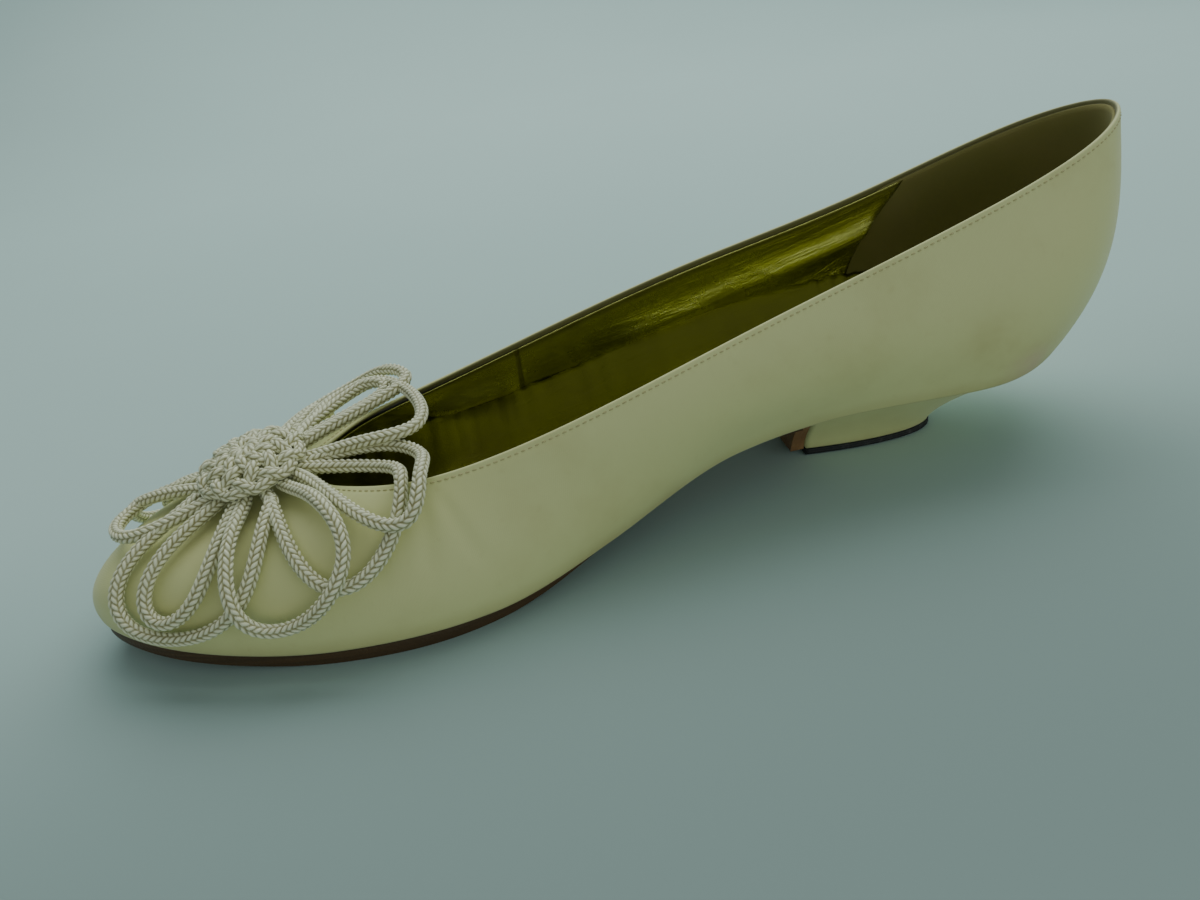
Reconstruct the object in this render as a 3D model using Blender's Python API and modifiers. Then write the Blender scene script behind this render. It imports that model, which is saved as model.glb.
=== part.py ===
"""Low-heeled court shoe for the right foot, with a cord flower on the vamp.

Metres, +Z up. +X points to the toe, +Y to the wearer's left, which is the inner side of a right shoe.
The floor is z = 0 and the origin lies on it, under the middle of the shoe.
"""

from collections import namedtuple

import bpy
import bmesh
import numpy as np

MM = 0.001

# Driving dimensions
LENGTH = 252 * MM          # what the tables' percents count from; the shoe ends just inside it
MIDDLE = 49.55             # percent of LENGTH at the origin, under the middle of the shoe
BALL_WIDTH = 75 * MM       # across the feather line at the ball
HEEL_HEIGHT = 19.5 * MM    # floor to the heel seat
BACK_HEIGHT = 52 * MM      # heel seat to the topline at the back
TOE_SPRING = 6.5 * MM      # floor to the sole under the toe tip
WALL = 2.0 * MM            # satin, stiffener and lining together
SOLE = 3.4 * MM            # leather outsole
INSOLE = 1.6 * MM          # insole with its sock, along the middle
CUP = 10.5 * MM            # how far the insole's edge stands above its middle
LIFT = 1.6 * MM            # top piece under the heel
GAP = 0.3 * MM             # between pieces that touch

# Heel, measured from the back of the counter
BREAST = 79 * MM
LIFT_LENGTH = 35 * MM
LIFT_HALF_WIDTH = 13.2 * MM
LIFT_SIDE = -9.2 * MM      # middle of the top piece, beside the shoe's middle line
LIFT_SKEW = -0.20          # sideways run of the top piece for each step towards the toe
HEEL_HOLLOW = 1.4          # how soon the heel draws in under the seat: 1 is a straight taper

# Cord flower
CORD = 3.2 * MM            # diameter of the braided cord
KNOT_RADIUS = 12.5 * MM    # the coiled middle
KNOT_HEIGHT = 9.5 * MM
LOOP_ROOT = 7.5 * MM       # from the flower's middle to where a loop starts, under the knot
LOOP_GAP = 1.5 * MM        # from the vamp to a loop, before its path is smoothed
FLOWER_PLACE = 0.885       # share of the vamp from the toe's feather line to the throat

# Mesh fineness
AROUND = 96
UP = 12

COLOURS = {
    "satin": (0.72, 0.68, 0.50, 1.0),
    "gold": (0.42, 0.34, 0.06, 1.0),
    "leather": (0.16, 0.07, 0.03, 1.0),
    "rubber": (0.02, 0.02, 0.02, 1.0),
    "cord": (0.80, 0.78, 0.66, 1.0),
}

# One row for each section of the upper's wall, round the shoe from the back by the inner side and the toe.
# foot_along, top_along: percent of LENGTH from the back. foot_side, top_side: percent of BALL_WIDTH from the
# middle line, inner side positive. top_height: percent of the topline's height at the back.
# rise, swell: how far the wall's lower curve reaches up and out, in mm.
# drop, lean: how far its upper curve reaches down and out, in mm. inset: sole edge inside the wall's foot, in mm.
Section = namedtuple("Section", "foot_along foot_side top_along top_side top_height rise swell drop lean inset")
SECTIONS = {
    "back":          Section(4.2, -6.0, 1.2, -5.0, 100.0, 18, 11.0, 20, 1.5, 2.0),
    "inner_counter": Section(9.5, 17.5, 5.2, 12.0, 96.0, 17, 9.5, 18, 6, 2.0),
    "inner_heel":    Section(19.8, 25.5, 20.6, 21.5, 80.5, 16, 6.5, 15, 7, 2.0),
    "inner_waist":   Section(34.1, 21.0, 38.1, 27.0, 66.0, 14, 7.0, 12, 6, 5.0),
    "inner_arch":    Section(50.8, 32.0, 55.6, 34.5, 52.5, 12, 6.0, 10, 5, 5.5),
    "inner_ball":    Section(67.5, 49.5, 67.5, 32.0, 45.0, 12, 3.0, 6, 8, 1.0),
    "inner_toe":     Section(84.1, 43.0, 73.8, 21.0, 42.0, 13, 2.5, 4, 15, 1.0),
    "inner_tip":     Section(94.2, 28.5, 76.2, 11.5, 41.0, 13, 2.0, 3, 26, 1.0),
    "toe_tip":       Section(98.0, 12.0, 77.0, 2.5, 42.0, 13, 2.0, 4, 34, 1.0),
    "outer_tip":     Section(95.0, -7.5, 76.2, -7.0, 41.0, 13, 2.0, 3, 26, 1.0),
    "outer_toe":     Section(85.7, -32.0, 73.8, -18.0, 41.0, 13, 2.5, 4, 15, 1.0),
    "outer_ball":    Section(63.5, -51.7, 66.7, -31.0, 43.0, 12, 3.0, 6, 8, 1.0),
    "outer_arch":    Section(47.6, -50.0, 54.8, -37.0, 51.0, 12, 4.0, 10, 5, 1.5),
    "outer_waist":   Section(32.5, -44.5, 38.1, -37.5, 64.5, 14, 5.0, 12, 6, 2.0),
    "outer_heel":    Section(19.0, -40.0, 20.6, -33.5, 78.0, 16, 6.0, 15, 7, 2.0),
    "outer_counter": Section(9.5, -30.0, 5.2, -22.5, 95.0, 17, 9.0, 18, 6, 2.0),
}
ROW_NAMES = list(SECTIONS)
ROWS = np.array(list(SECTIONS.values()))

# Height of the foot bed along the shoe: percent of LENGTH from the back, height
BED = (
    (0, HEEL_HEIGHT),
    (28, 0.94 * HEEL_HEIGHT),
    (40, 0.80 * HEEL_HEIGHT),
    (53, 0.36 * HEEL_HEIGHT),
    (64, SOLE),
    (77, SOLE),
    (100, SOLE + TOE_SPRING),
)

# Cord loops of the flower. heading: degrees from the toe direction, inner side positive. reach: tip's distance
# from the middle, mm. width: added in the widest place, mm. root: between the two strands at the knot, mm.
# sway: sideways bow of the tip, mm. lift: how far the tip stands off the vamp, mm.
# over: 1 where the loop passes over its neighbours, else 0.
Loop = namedtuple("Loop", "heading reach width root sway lift over")
LOOPS = {
    "toe": Loop(-1, 33, 12, 9, -3, 1, 0),
    "inner_toe_wide": Loop(54, 40, 20, 20, -7, 0, 0),
    "inner_toe": Loop(52, 37, 11, 4, -5, 0, 0),
    "inner_side": Loop(98, 40, 23, 7, -2, 0, 1),
    "inner_back": Loop(126, 42, 25, 8, -2, 0, 0),
    "inner_back_small": Loop(150, 44, 21, 2, -9, 2, 0),
    "back": Loop(196, 38, 33, 9, -2, 1, 1),
    "outer_back": Loop(226, 40, 18, 8, -9, 6, 0),
    "outer_back_small": Loop(221, 36, 7, 4, -6, 4, 0),
    "outer_side": Loop(262, 39, 21, 7, 2, 0, 1),
    "outer_toe_wide": Loop(309, 37, 19, 17, 6, 3, 0),
    "outer_toe": Loop(311, 35, 10, 4, 4, 0, 0),
}


def at_along(percent):
    """Distance from the origin along X for a percent of LENGTH from the back."""
    return (np.asarray(percent) - MIDDLE) / 100 * LENGTH


def periodic_spline(knots, values, period):
    """A smooth closed curve through the values: the slopes solve the usual tridiagonal system."""
    count = len(knots)
    step = np.diff(np.append(knots, knots[0] + period))
    before = np.roll(step, 1)
    chord = (np.roll(values, -1, 0) - values) / step[:, None]
    system = np.zeros((count, count))
    for i in range(count):
        system[i, i - 1] += step[i]
        system[i, i] += 2 * (before[i] + step[i])
        system[i, (i + 1) % count] += before[i]
    slopes = np.linalg.solve(system, 3 * (step[:, None] * np.roll(chord, 1, 0) + before[:, None] * chord))

    def evaluate(places):
        places = np.mod(places - knots[0], period) + knots[0]
        i = np.clip(np.searchsorted(knots, places, side="right") - 1, 0, count - 1)
        j = (i + 1) % count
        h = step[i][..., None]
        t = ((places - knots[i]) / step[i])[..., None]
        return (
            (1 + 2 * t) * (1 - t) ** 2 * values[i]
            + t * (1 - t) ** 2 * h * slopes[i]
            + t**2 * (3 - 2 * t) * values[j]
            + t**2 * (t - 1) * h * slopes[j]
        )

    return evaluate


def bed_height(x):
    """Height of the foot bed: a curve through BED that stays level where two rows are level."""
    places = at_along([row[0] for row in BED])
    heights = np.array([row[1] for row in BED])
    secant = np.diff(heights) / np.diff(places)
    product = secant[:-1] * secant[1:]
    inner = np.where(product > 0, 2 * product / np.where(product > 0, secant[:-1] + secant[1:], 1), 0)
    slopes = np.concatenate([[secant[0]], inner, [secant[-1]]])
    x = np.clip(x, places[0], places[-1])
    i = np.clip(np.searchsorted(places, x, side="right") - 1, 0, len(secant) - 1)
    h = places[i + 1] - places[i]
    t = (x - places[i]) / h
    return (
        (1 + 2 * t) * (1 - t) ** 2 * heights[i]
        + t * (1 - t) ** 2 * h * slopes[i]
        + t**2 * (3 - 2 * t) * heights[i + 1]
        + t**2 * (t - 1) * h * slopes[i + 1]
    )


def columns(*names):
    """Columns of the section table, one row for each section."""
    return ROWS[:, [Section._fields.index(name) for name in names]]


def section_places():
    """Place of each section round the shoe: running length, half along the feather line, half along the topline."""
    foot = columns("foot_along", "foot_side") * [LENGTH / 100, BALL_WIDTH / 100]
    top = columns("top_along", "top_side") * [LENGTH / 100, BALL_WIDTH / 100]
    run = sum(np.linalg.norm(np.roll(edge, -1, 0) - edge, axis=1) for edge in (foot, top)) / 2
    return np.concatenate([[0], np.cumsum(run)[:-1]]), run.sum()


PLACES, PERIOD = section_places()
TABLE = periodic_spline(PLACES, ROWS, PERIOD)
TOE_PLACE = PLACES[ROW_NAMES.index("toe_tip")]


def read(rows, name):
    """One column of interpolated sections, in its own unit."""
    return rows[..., Section._fields.index(name)]


def foot_plan(place):
    """Feather line seen from above."""
    rows = TABLE(place)
    return np.stack([at_along(read(rows, "foot_along")), read(rows, "foot_side") / 100 * BALL_WIDTH], -1)


def outward(place):
    """Unit direction, seen from above, square to the feather line and away from the shoe."""
    reach = PERIOD / 2000
    along = foot_plan(place + reach) - foot_plan(place - reach)
    along /= np.linalg.norm(along, axis=-1, keepdims=True)
    return np.stack([-along[..., 1], along[..., 0]], -1)


def wall_point(place, share):
    """Outer face of the upper: a cubic curve from the feather line (share 0) to the topline (share 1)."""
    place, share = np.broadcast_arrays(place, share)
    rows = TABLE(place)
    out = outward(place)
    foot = foot_plan(place)
    foot_z = bed_height(foot[..., 0]) + GAP
    top = np.stack([at_along(read(rows, "top_along")), read(rows, "top_side") / 100 * BALL_WIDTH], -1)
    top_z = read(rows, "top_height") / 100 * (HEEL_HEIGHT + BACK_HEIGHT)
    low = foot + out * read(rows, "swell")[..., None] * MM
    low_z = foot_z + read(rows, "rise") * MM
    high = top + out * read(rows, "lean")[..., None] * MM
    high_z = top_z - read(rows, "drop") * MM
    weights = ((1 - share) ** 3, 3 * share * (1 - share) ** 2, 3 * share**2 * (1 - share), share**3)
    plan = sum(w[..., None] * p for w, p in zip(weights, (foot, low, high, top)))
    height = sum(w * z for w, z in zip(weights, (foot_z, low_z, high_z, top_z)))
    return np.concatenate([plan, height[..., None]], -1)


def wall_slopes(place, share):
    """How the outer face runs round the shoe and up the wall."""
    reach_round, reach_up = PERIOD / 4000, 0.002
    round_it = wall_point(place + reach_round, share) - wall_point(place - reach_round, share)
    up_it = wall_point(place, share + reach_up) - wall_point(place, share - reach_up)
    return round_it / (2 * reach_round), up_it / (2 * reach_up)


def ease(value, start, end):
    """0 before start, 1 after end, and a smooth step between them."""
    t = np.clip((value - start) / (end - start), 0, 1)
    return t**2 * (3 - 2 * t)


def unit(vectors):
    return vectors / np.linalg.norm(vectors, axis=-1, keepdims=True)


def wall_normal(round_it, up_it):
    """Unit direction out of the wall."""
    return unit(np.cross(up_it, round_it))


def on_vamp(heading, distance):
    """Points at a heading (radians) and distance from the flower's middle, walked straight over the vamp.

    Returns the points and the wall's unit normals there. Past the throat the walk goes straight on.
    """
    place = np.full(heading.shape, TOE_PLACE)
    share = np.full(heading.shape, FLOWER_PLACE)
    round_it, up_it = wall_slopes(place, share)
    to_toe = unit(-up_it)
    to_inner = np.cross(wall_normal(round_it, up_it), to_toe)
    way = np.cos(heading)[..., None] * to_toe + np.sin(heading)[..., None] * to_inner
    steps = 40
    point = wall_point(place, share)
    normal = wall_normal(round_it, up_it)
    for _ in range(steps):
        on_wall = share < 1
        way = unit(way - normal * (way * normal).sum(-1, keepdims=True))
        rr, ru, uu = ((a * b).sum(-1) for a, b in ((round_it, round_it), (round_it, up_it), (up_it, up_it)))
        wr, wu = (way * round_it).sum(-1), (way * up_it).sum(-1)
        step = np.where(on_wall, distance / steps / (rr * uu - ru**2), 0)
        place = place + step * (uu * wr - ru * wu)
        share = share + step * (rr * wu - ru * wr)
        round_it, up_it = wall_slopes(place, share)
        normal = wall_normal(round_it, up_it)
        point = np.where(on_wall[..., None], wall_point(place, share), point + way * (distance / steps)[..., None])
    return point, normal


def grid_faces(rows, across, closed=False):
    """Quads of a grid of points stored row by row. A closed grid joins its last column to its first."""
    faces = []
    for i in range(rows - 1):
        for j in range(across if closed else across - 1):
            k = (j + 1) % across
            faces.append((i * across + j, i * across + k, (i + 1) * across + k, (i + 1) * across + j))
    return faces


def material(name, colour, roughness, metallic=0.0):
    made = bpy.data.materials.new(name)
    made.use_nodes = True
    shader = made.node_tree.nodes["Principled BSDF"]
    shader.inputs["Base Color"].default_value = COLOURS[colour]
    shader.inputs["Roughness"].default_value = roughness
    shader.inputs["Metallic"].default_value = metallic
    made.diffuse_color = COLOURS[colour]
    return made


def add_mesh(collection, name, points, faces, finish):
    """A smooth-shaded mesh object. Points that coincide, as at the tip of a sole, become one."""
    mesh = bpy.data.meshes.new(name)
    shape = bmesh.new()
    made = [shape.verts.new(p) for p in np.reshape(points, (-1, 3))]
    for face in faces:
        shape.faces.new([made[i] for i in face])
    bmesh.ops.remove_doubles(shape, verts=shape.verts, dist=1e-6)
    shape.to_mesh(mesh)
    shape.free()
    mesh.shade_smooth()
    mesh.set_sharp_from_angle(angle=0.7)
    mesh.materials.append(finish)
    thing = bpy.data.objects.new(name, mesh)
    collection.objects.link(thing)
    return thing


def thicken(thing, thickness, offset):
    """Turn an open surface into a shell. Offset -1 grows it behind its faces, 1 in front of them."""
    shell = thing.modifiers.new("thickness", "SOLIDIFY")
    shell.thickness = thickness
    shell.offset = offset
    shell.use_even_offset = True


def upper(collection, finish):
    """The hollow wall, open along the topline and underneath."""
    place = np.arange(AROUND) / AROUND * PERIOD
    share = np.linspace(0, 1, UP + 1)
    points = wall_point(place[None, :], share[:, None])
    faces = [face[::-1] for face in grid_faces(UP + 1, AROUND, closed=True)]
    thicken(add_mesh(collection, "upper", points, faces, finish), WALL, -1)


def side_edges(inset):
    """Feather line moved inward, as one curve along each side from the back to the toe."""
    place = np.linspace(0, PERIOD, 2400, endpoint=False)
    edge = foot_plan(place) - outward(place) * np.broadcast_to(inset, place.shape)[:, None]
    edge = np.roll(edge, -edge[:, 0].argmin(), 0)
    toe = edge[:, 0].argmax()
    return edge[: toe + 1], np.concatenate([edge[toe:], edge[:1]])[::-1]


def sole_edges():
    """Edges of the sole and of the heel seat, set in under the upper as the table says."""
    place = np.linspace(0, PERIOD, 2400, endpoint=False)
    return side_edges(read(TABLE(place), "inset") * MM)


def across(edges, x, count):
    """Rows of points from the inner edge to the outer edge at each x, in plan."""
    inner, outer = (np.interp(x, edge[:, 0], edge[:, 1]) for edge in edges)
    share = np.linspace(0, 1, count)
    side = inner[:, None] * (1 - share) + outer[:, None] * share
    return np.stack([np.broadcast_to(x[:, None], side.shape), side], -1)


BREAST_X = at_along(0) + BREAST
HEEL_POINTS = 41


def seat_outline():
    """Heel seat in plan, from the inner breast corner round the back to the outer one, evenly spaced."""
    inner, outer = sole_edges()
    inner, outer = (edge[edge[:, 0] < BREAST_X] for edge in (inner, outer))
    run = np.concatenate([inner[::-1], outer[1:]])
    length = np.concatenate([[0], np.cumsum(np.linalg.norm(np.diff(run, axis=0), axis=1))])
    even = np.linspace(0, length[-1], HEEL_POINTS)
    outline = np.stack([np.interp(even, length, run[:, i]) for i in range(2)], -1)
    outline[[0, -1], 0] = BREAST_X
    return outline


def lift_outline():
    """Top piece in plan, in the same order: a full half oval behind the breast."""
    turn = np.linspace(0, np.pi, HEEL_POINTS)
    x = BREAST_X - LIFT_LENGTH * np.sin(turn) ** 0.85
    side = LIFT_SIDE + LIFT_HALF_WIDTH * np.sign(np.cos(turn)) * np.abs(np.cos(turn)) ** 0.8
    side += LIFT_SKEW * (x - BREAST_X + LIFT_LENGTH / 2)
    return np.stack([x, side], -1)


def heel_ring(share):
    """Outline of the heel block at a share of the way from the seat down to the top piece, hollowed at the back."""
    seat, lift = seat_outline(), lift_outline()
    taper = 1 - (1 - share) ** HEEL_HOLLOW
    plan = seat * (1 - taper) + lift * taper
    seat_z = bed_height(seat[:, 0])
    height = seat_z * (1 - share) + (LIFT + GAP) * share
    return np.column_stack([plan, height])


def heel_block(collection, finish):
    """The covered heel: rings from the seat down, closed above and below by strips from side to side."""
    rings = np.stack([heel_ring(share) for share in np.linspace(0, 1, 9)])
    count = HEEL_POINTS
    faces = [face[::-1] for face in grid_faces(len(rings), count, closed=True)]
    middle = count // 2
    for first, flip in ((0, 1), ((len(rings) - 1) * count, -1)):
        for i in range(middle):
            corners = [i, i + 1, count - 2 - i, count - 1 - i]
            cap = [first + c for c in dict.fromkeys(corners)]
            faces.append(cap[::flip])
    add_mesh(collection, "heel_block", rings, faces, finish)


def heel_lift(collection, finish):
    """Top piece: the half oval drawn flat and extruded both ways from its middle height."""
    curve = bpy.data.curves.new("heel_lift", "CURVE")
    curve.dimensions = "2D"
    curve.fill_mode = "BOTH"
    curve.extrude = LIFT / 2
    outline = lift_outline()
    line = curve.splines.new("POLY")
    line.points.add(len(outline) - 1)
    for point, (x, y) in zip(line.points, outline):
        point.co = (x, y, 0, 1)
    line.use_cyclic_u = True
    curve.materials.append(finish)
    thing = bpy.data.objects.new("heel_lift", curve)
    thing.location.z = LIFT / 2
    collection.objects.link(thing)


def outsole(collection, finish):
    """Leather sole: a sheet from the foot of the heel breast, up it, round a bend and forward to the toe."""
    bend = 4 * MM
    columns_across = 9
    edges = sole_edges()
    face_x = BREAST_X + GAP
    toe_x = edges[0][-1, 0]
    ahead = np.sin(np.linspace(0, np.pi / 2, 27))
    x = face_x + bend + (toe_x - face_x - bend) * ahead
    plan = across(edges, x, columns_across)
    bed = np.concatenate([plan, np.broadcast_to(bed_height(x)[:, None, None], plan.shape[:2] + (1,))], -1)
    bed_z = bed_height(np.array(face_x + bend))
    turn = np.linspace(0, np.pi / 2, 6)[:-1]
    flap_z = np.concatenate([np.linspace(LIFT + GAP, bed_z - bend, 4)[:-1], bed_z - bend * (1 - np.sin(turn))])
    flap_x = face_x + np.concatenate([np.zeros(3), bend * (1 - np.cos(turn))])
    seat_z = bed_height(np.array(BREAST_X))
    flap = []
    for x_here, z_here in zip(flap_x, flap_z):
        ring = heel_ring(np.clip((seat_z - z_here) / (seat_z - LIFT - GAP), 0, 1))
        side = np.linspace(ring[0, 1] - GAP, ring[-1, 1] + GAP, columns_across)
        flap.append(np.column_stack([np.full_like(side, x_here), side, np.full_like(side, z_here)]))
    points = np.concatenate([np.stack(flap), bed])
    faces = grid_faces(len(points), columns_across)
    thicken(add_mesh(collection, "outsole", points, faces, finish), SOLE, -1)


def insole(collection, finish):
    """Insole with its sock: it lies on the sole, and is hollowed so that its edge stands up along the wall."""
    columns_across = 13
    heel_round = 22 * MM
    edges = side_edges(WALL + 2.5 * GAP)
    back_x, toe_x = edges[0][0, 0], edges[0][-1, 0]
    x = (back_x + toe_x) / 2 - (toe_x - back_x) / 2 * np.cos(np.linspace(0, np.pi, 37))
    plan = across(edges, x, columns_across)
    from_middle = np.linspace(-1, 1, columns_across)
    to_back = np.clip(1 - (x - back_x) / heel_round, 0, 1)[:, None]
    edge_share = np.sqrt(to_back**2 + from_middle**2 * (1 - to_back**2))
    # The cup fades out under the toes, and is half as deep round the back.
    under_toes = ease(x, at_along(66), at_along(86))
    at_back = 1 - ease(x, at_along(6), at_along(22))
    cup = CUP * (1 - under_toes) * (1 - at_back / 2)
    low = np.broadcast_to((bed_height(x) + GAP)[:, None], plan.shape[:2])
    high = low + INSOLE + cup[:, None] * edge_share**3
    lean_in = 0.06
    middle = plan[..., 1].mean(1, keepdims=True)
    leaned = middle + (plan[..., 1] - middle) * (1 - lean_in * cup[:, None] / CUP)
    under = np.concatenate([plan, low[..., None]], -1)
    over = np.stack([plan[..., 0], leaned, high], -1)
    top = grid_faces(len(x), columns_across)
    count = len(x) * columns_across
    faces = [tuple(c + count for c in face) for face in top] + [face[::-1] for face in top]
    for column, turn in ((0, 1), (columns_across - 1, -1)):
        for i in range(len(x) - 1):
            a, b = i * columns_across + column, (i + 1) * columns_across + column
            faces.append((a, a + count, b + count, b)[::turn])
    add_mesh(collection, "insole", np.stack([under, over]), faces, finish)


def knot(collection, finish):
    """Coiled middle of the flower: a low dome with the ridges of the coil, seated on the vamp."""
    rings, spokes = 10, 30
    share = np.linspace(1, 0.06, rings)
    heading = np.linspace(0, 2 * np.pi, spokes, endpoint=False)
    share, heading = np.meshgrid(share, heading, indexing="ij")
    base, normal = on_vamp(heading, share * KNOT_RADIUS)
    ridge = 1 + 0.10 * np.cos(share * KNOT_RADIUS / CORD * 2 * np.pi)
    dome = KNOT_HEIGHT * np.sqrt(1 - (0.9 * share) ** 2) * ridge
    seat = base + normal * (GAP + 0.1 * MM)
    top = base + normal * dome[..., None]
    points = np.concatenate([seat[::-1], top])
    faces = [face[::-1] for face in grid_faces(2 * rings, spokes, closed=True)]
    last = (2 * rings - 1) * spokes
    faces.append(tuple(range(spokes)))
    faces.append(tuple(range(last + spokes - 1, last - 1, -1)))
    return add_mesh(collection, "cord_flower", points, faces, finish)


def loop_base(loop, count):
    """One cord loop on the vamp: out from the knot, round its tip and back.

    Returns its points, the wall's normals there, and the share of the way out to the tip.
    """
    t = np.linspace(0, 1, count)
    out_share = (1 - np.cos(2 * np.pi * t)) / 2
    along = LOOP_ROOT + (loop.reach * MM - LOOP_ROOT) * out_share
    leaf = np.sin(2 * np.pi * t) * np.sin(np.pi * t) ** 2
    side = loop.width / 2 * leaf / leaf.max()
    side = (side + loop.root / 2 * np.cos(np.pi * t) + loop.sway * out_share**2) * MM
    points, normals = on_vamp(np.radians(loop.heading) + np.arctan2(side, along), np.hypot(along, side))
    return points, normals, out_share


def smoothed(line, rounds):
    """A line of points with its corners eased, its ends kept."""
    for _ in range(rounds):
        line = np.concatenate([line[:1], (line[:-2] + 2 * line[1:-1] + line[2:]) / 4, line[-1:]])
    return line


def evenly(line, count):
    """Points at equal distances along a line."""
    run = np.concatenate([[0], np.cumsum(np.linalg.norm(np.diff(line, axis=0), axis=1))])
    even = np.linspace(0, run[-1], count)
    return np.stack([np.interp(even, run, values) for values in line.T], -1)


def loop_path(loop, count):
    """Middle line of one cord: on the vamp, and higher where it passes over a lower loop outside the knot."""
    fine = 120
    base, normal, out_share = loop_base(loop, fine)
    under = np.concatenate([loop_base(other, fine)[0] for other in LOOPS.values() if not other.over])
    middle = on_vamp(np.zeros(1), np.zeros(1))[0]
    under = under[np.linalg.norm(under - middle, axis=1) > KNOT_RADIUS]
    nearest = np.linalg.norm(base[:, None] - under, axis=-1).min(1)
    crossing = loop.over * (1 - ease(nearest, 0.75 * CORD, 2.25 * CORD)) * ease(out_share, 0.15, 0.45)
    height = CORD / 2 + LOOP_GAP + 1.1 * CORD * crossing + loop.lift * MM * out_share
    return evenly(smoothed(base + normal * height[:, None], 60), count)


def cord_loop(name, loop):
    """One loop of cord as a closed mesh tube."""
    curve = bpy.data.curves.new(name, "CURVE")
    curve.dimensions = "3D"
    curve.bevel_depth = CORD / 2
    curve.bevel_resolution = 1
    curve.use_fill_caps = True
    path = loop_path(loop, 26)
    line = curve.splines.new("POLY")
    line.points.add(len(path) - 1)
    for point, place in zip(line.points, path):
        point.co = (*place, 1)
    drawn = bpy.data.objects.new(name, curve)
    bpy.context.scene.collection.objects.link(drawn)
    mesh = bpy.data.meshes.new_from_object(drawn.evaluated_get(bpy.context.evaluated_depsgraph_get()))
    bpy.data.objects.remove(drawn)
    shape = bmesh.new()
    shape.from_mesh(mesh)
    bmesh.ops.remove_doubles(shape, verts=shape.verts, dist=1e-6)
    shape.to_mesh(mesh)
    shape.free()
    return bpy.data.objects.new(name, mesh)


def cord_flower(collection, cutters, finish):
    """The whole sewn-on flower: the knot with its cord loops joined to it."""
    flower = knot(collection, finish)
    for name, loop in LOOPS.items():
        tube = cord_loop("loop_" + name, loop)
        tube.hide_render = True
        tube.display_type = "WIRE"
        cutters.objects.link(tube)
    join = flower.modifiers.new("join loops", "BOOLEAN")
    join.operation = "UNION"
    join.operand_type = "COLLECTION"
    join.collection = cutters


def main():
    for thing in list(bpy.data.objects):
        bpy.data.objects.remove(thing, do_unlink=True)
    shoe = bpy.data.collections.new("court_shoe")
    cutters = bpy.data.collections.new("joined_loops")
    for collection in (shoe, cutters):
        bpy.context.scene.collection.children.link(collection)
    satin = material("satin", "satin", 0.5)
    upper(shoe, satin)
    insole(shoe, material("gold_sock", "gold", 0.4, 0.6))
    outsole(shoe, material("sole_leather", "leather", 0.6))
    heel_block(shoe, satin)
    heel_lift(shoe, material("lift_rubber", "rubber", 0.7))
    cord_flower(shoe, cutters, material("braided_cord", "cord", 0.7))


if __name__ == "__main__":
    main()
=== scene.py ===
"""Low-heeled court shoe for the right foot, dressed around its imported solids.

Metres, +X to the toe, +Y to the inner side, +Z up. The tables and curves are those of the solids, so that
every piece lies where its solid does.
"""

from collections import namedtuple

import bmesh
import bpy
import numpy as np
from bpy.props import FloatProperty, FloatVectorProperty, PointerProperty
from mathutils import Matrix, Vector


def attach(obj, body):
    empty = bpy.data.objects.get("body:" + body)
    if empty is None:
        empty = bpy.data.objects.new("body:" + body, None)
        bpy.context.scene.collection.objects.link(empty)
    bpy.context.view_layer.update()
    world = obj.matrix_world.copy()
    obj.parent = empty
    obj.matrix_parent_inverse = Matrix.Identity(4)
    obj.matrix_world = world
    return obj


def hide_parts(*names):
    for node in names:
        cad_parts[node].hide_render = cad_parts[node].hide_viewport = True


bl_info = {
    "name": "Court Shoe",
    "version": (1, 0, 0),
    "blender": (4, 5, 0),
    "location": "View3D > Sidebar > Court Shoe",
    "description": "Satin, linings, sole, heel and a braided cord flower around the solids of a court shoe",
    "category": "Add Mesh",
}

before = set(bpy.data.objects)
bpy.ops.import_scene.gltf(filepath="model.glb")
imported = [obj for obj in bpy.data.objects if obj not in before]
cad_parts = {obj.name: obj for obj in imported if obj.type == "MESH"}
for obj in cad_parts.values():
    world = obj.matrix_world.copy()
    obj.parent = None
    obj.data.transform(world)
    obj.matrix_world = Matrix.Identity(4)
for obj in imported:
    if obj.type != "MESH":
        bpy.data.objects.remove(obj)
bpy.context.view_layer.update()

MM = 0.001
BODY = "root"
MIDDLE = 49.55    # percent of the length at the origin

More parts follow.
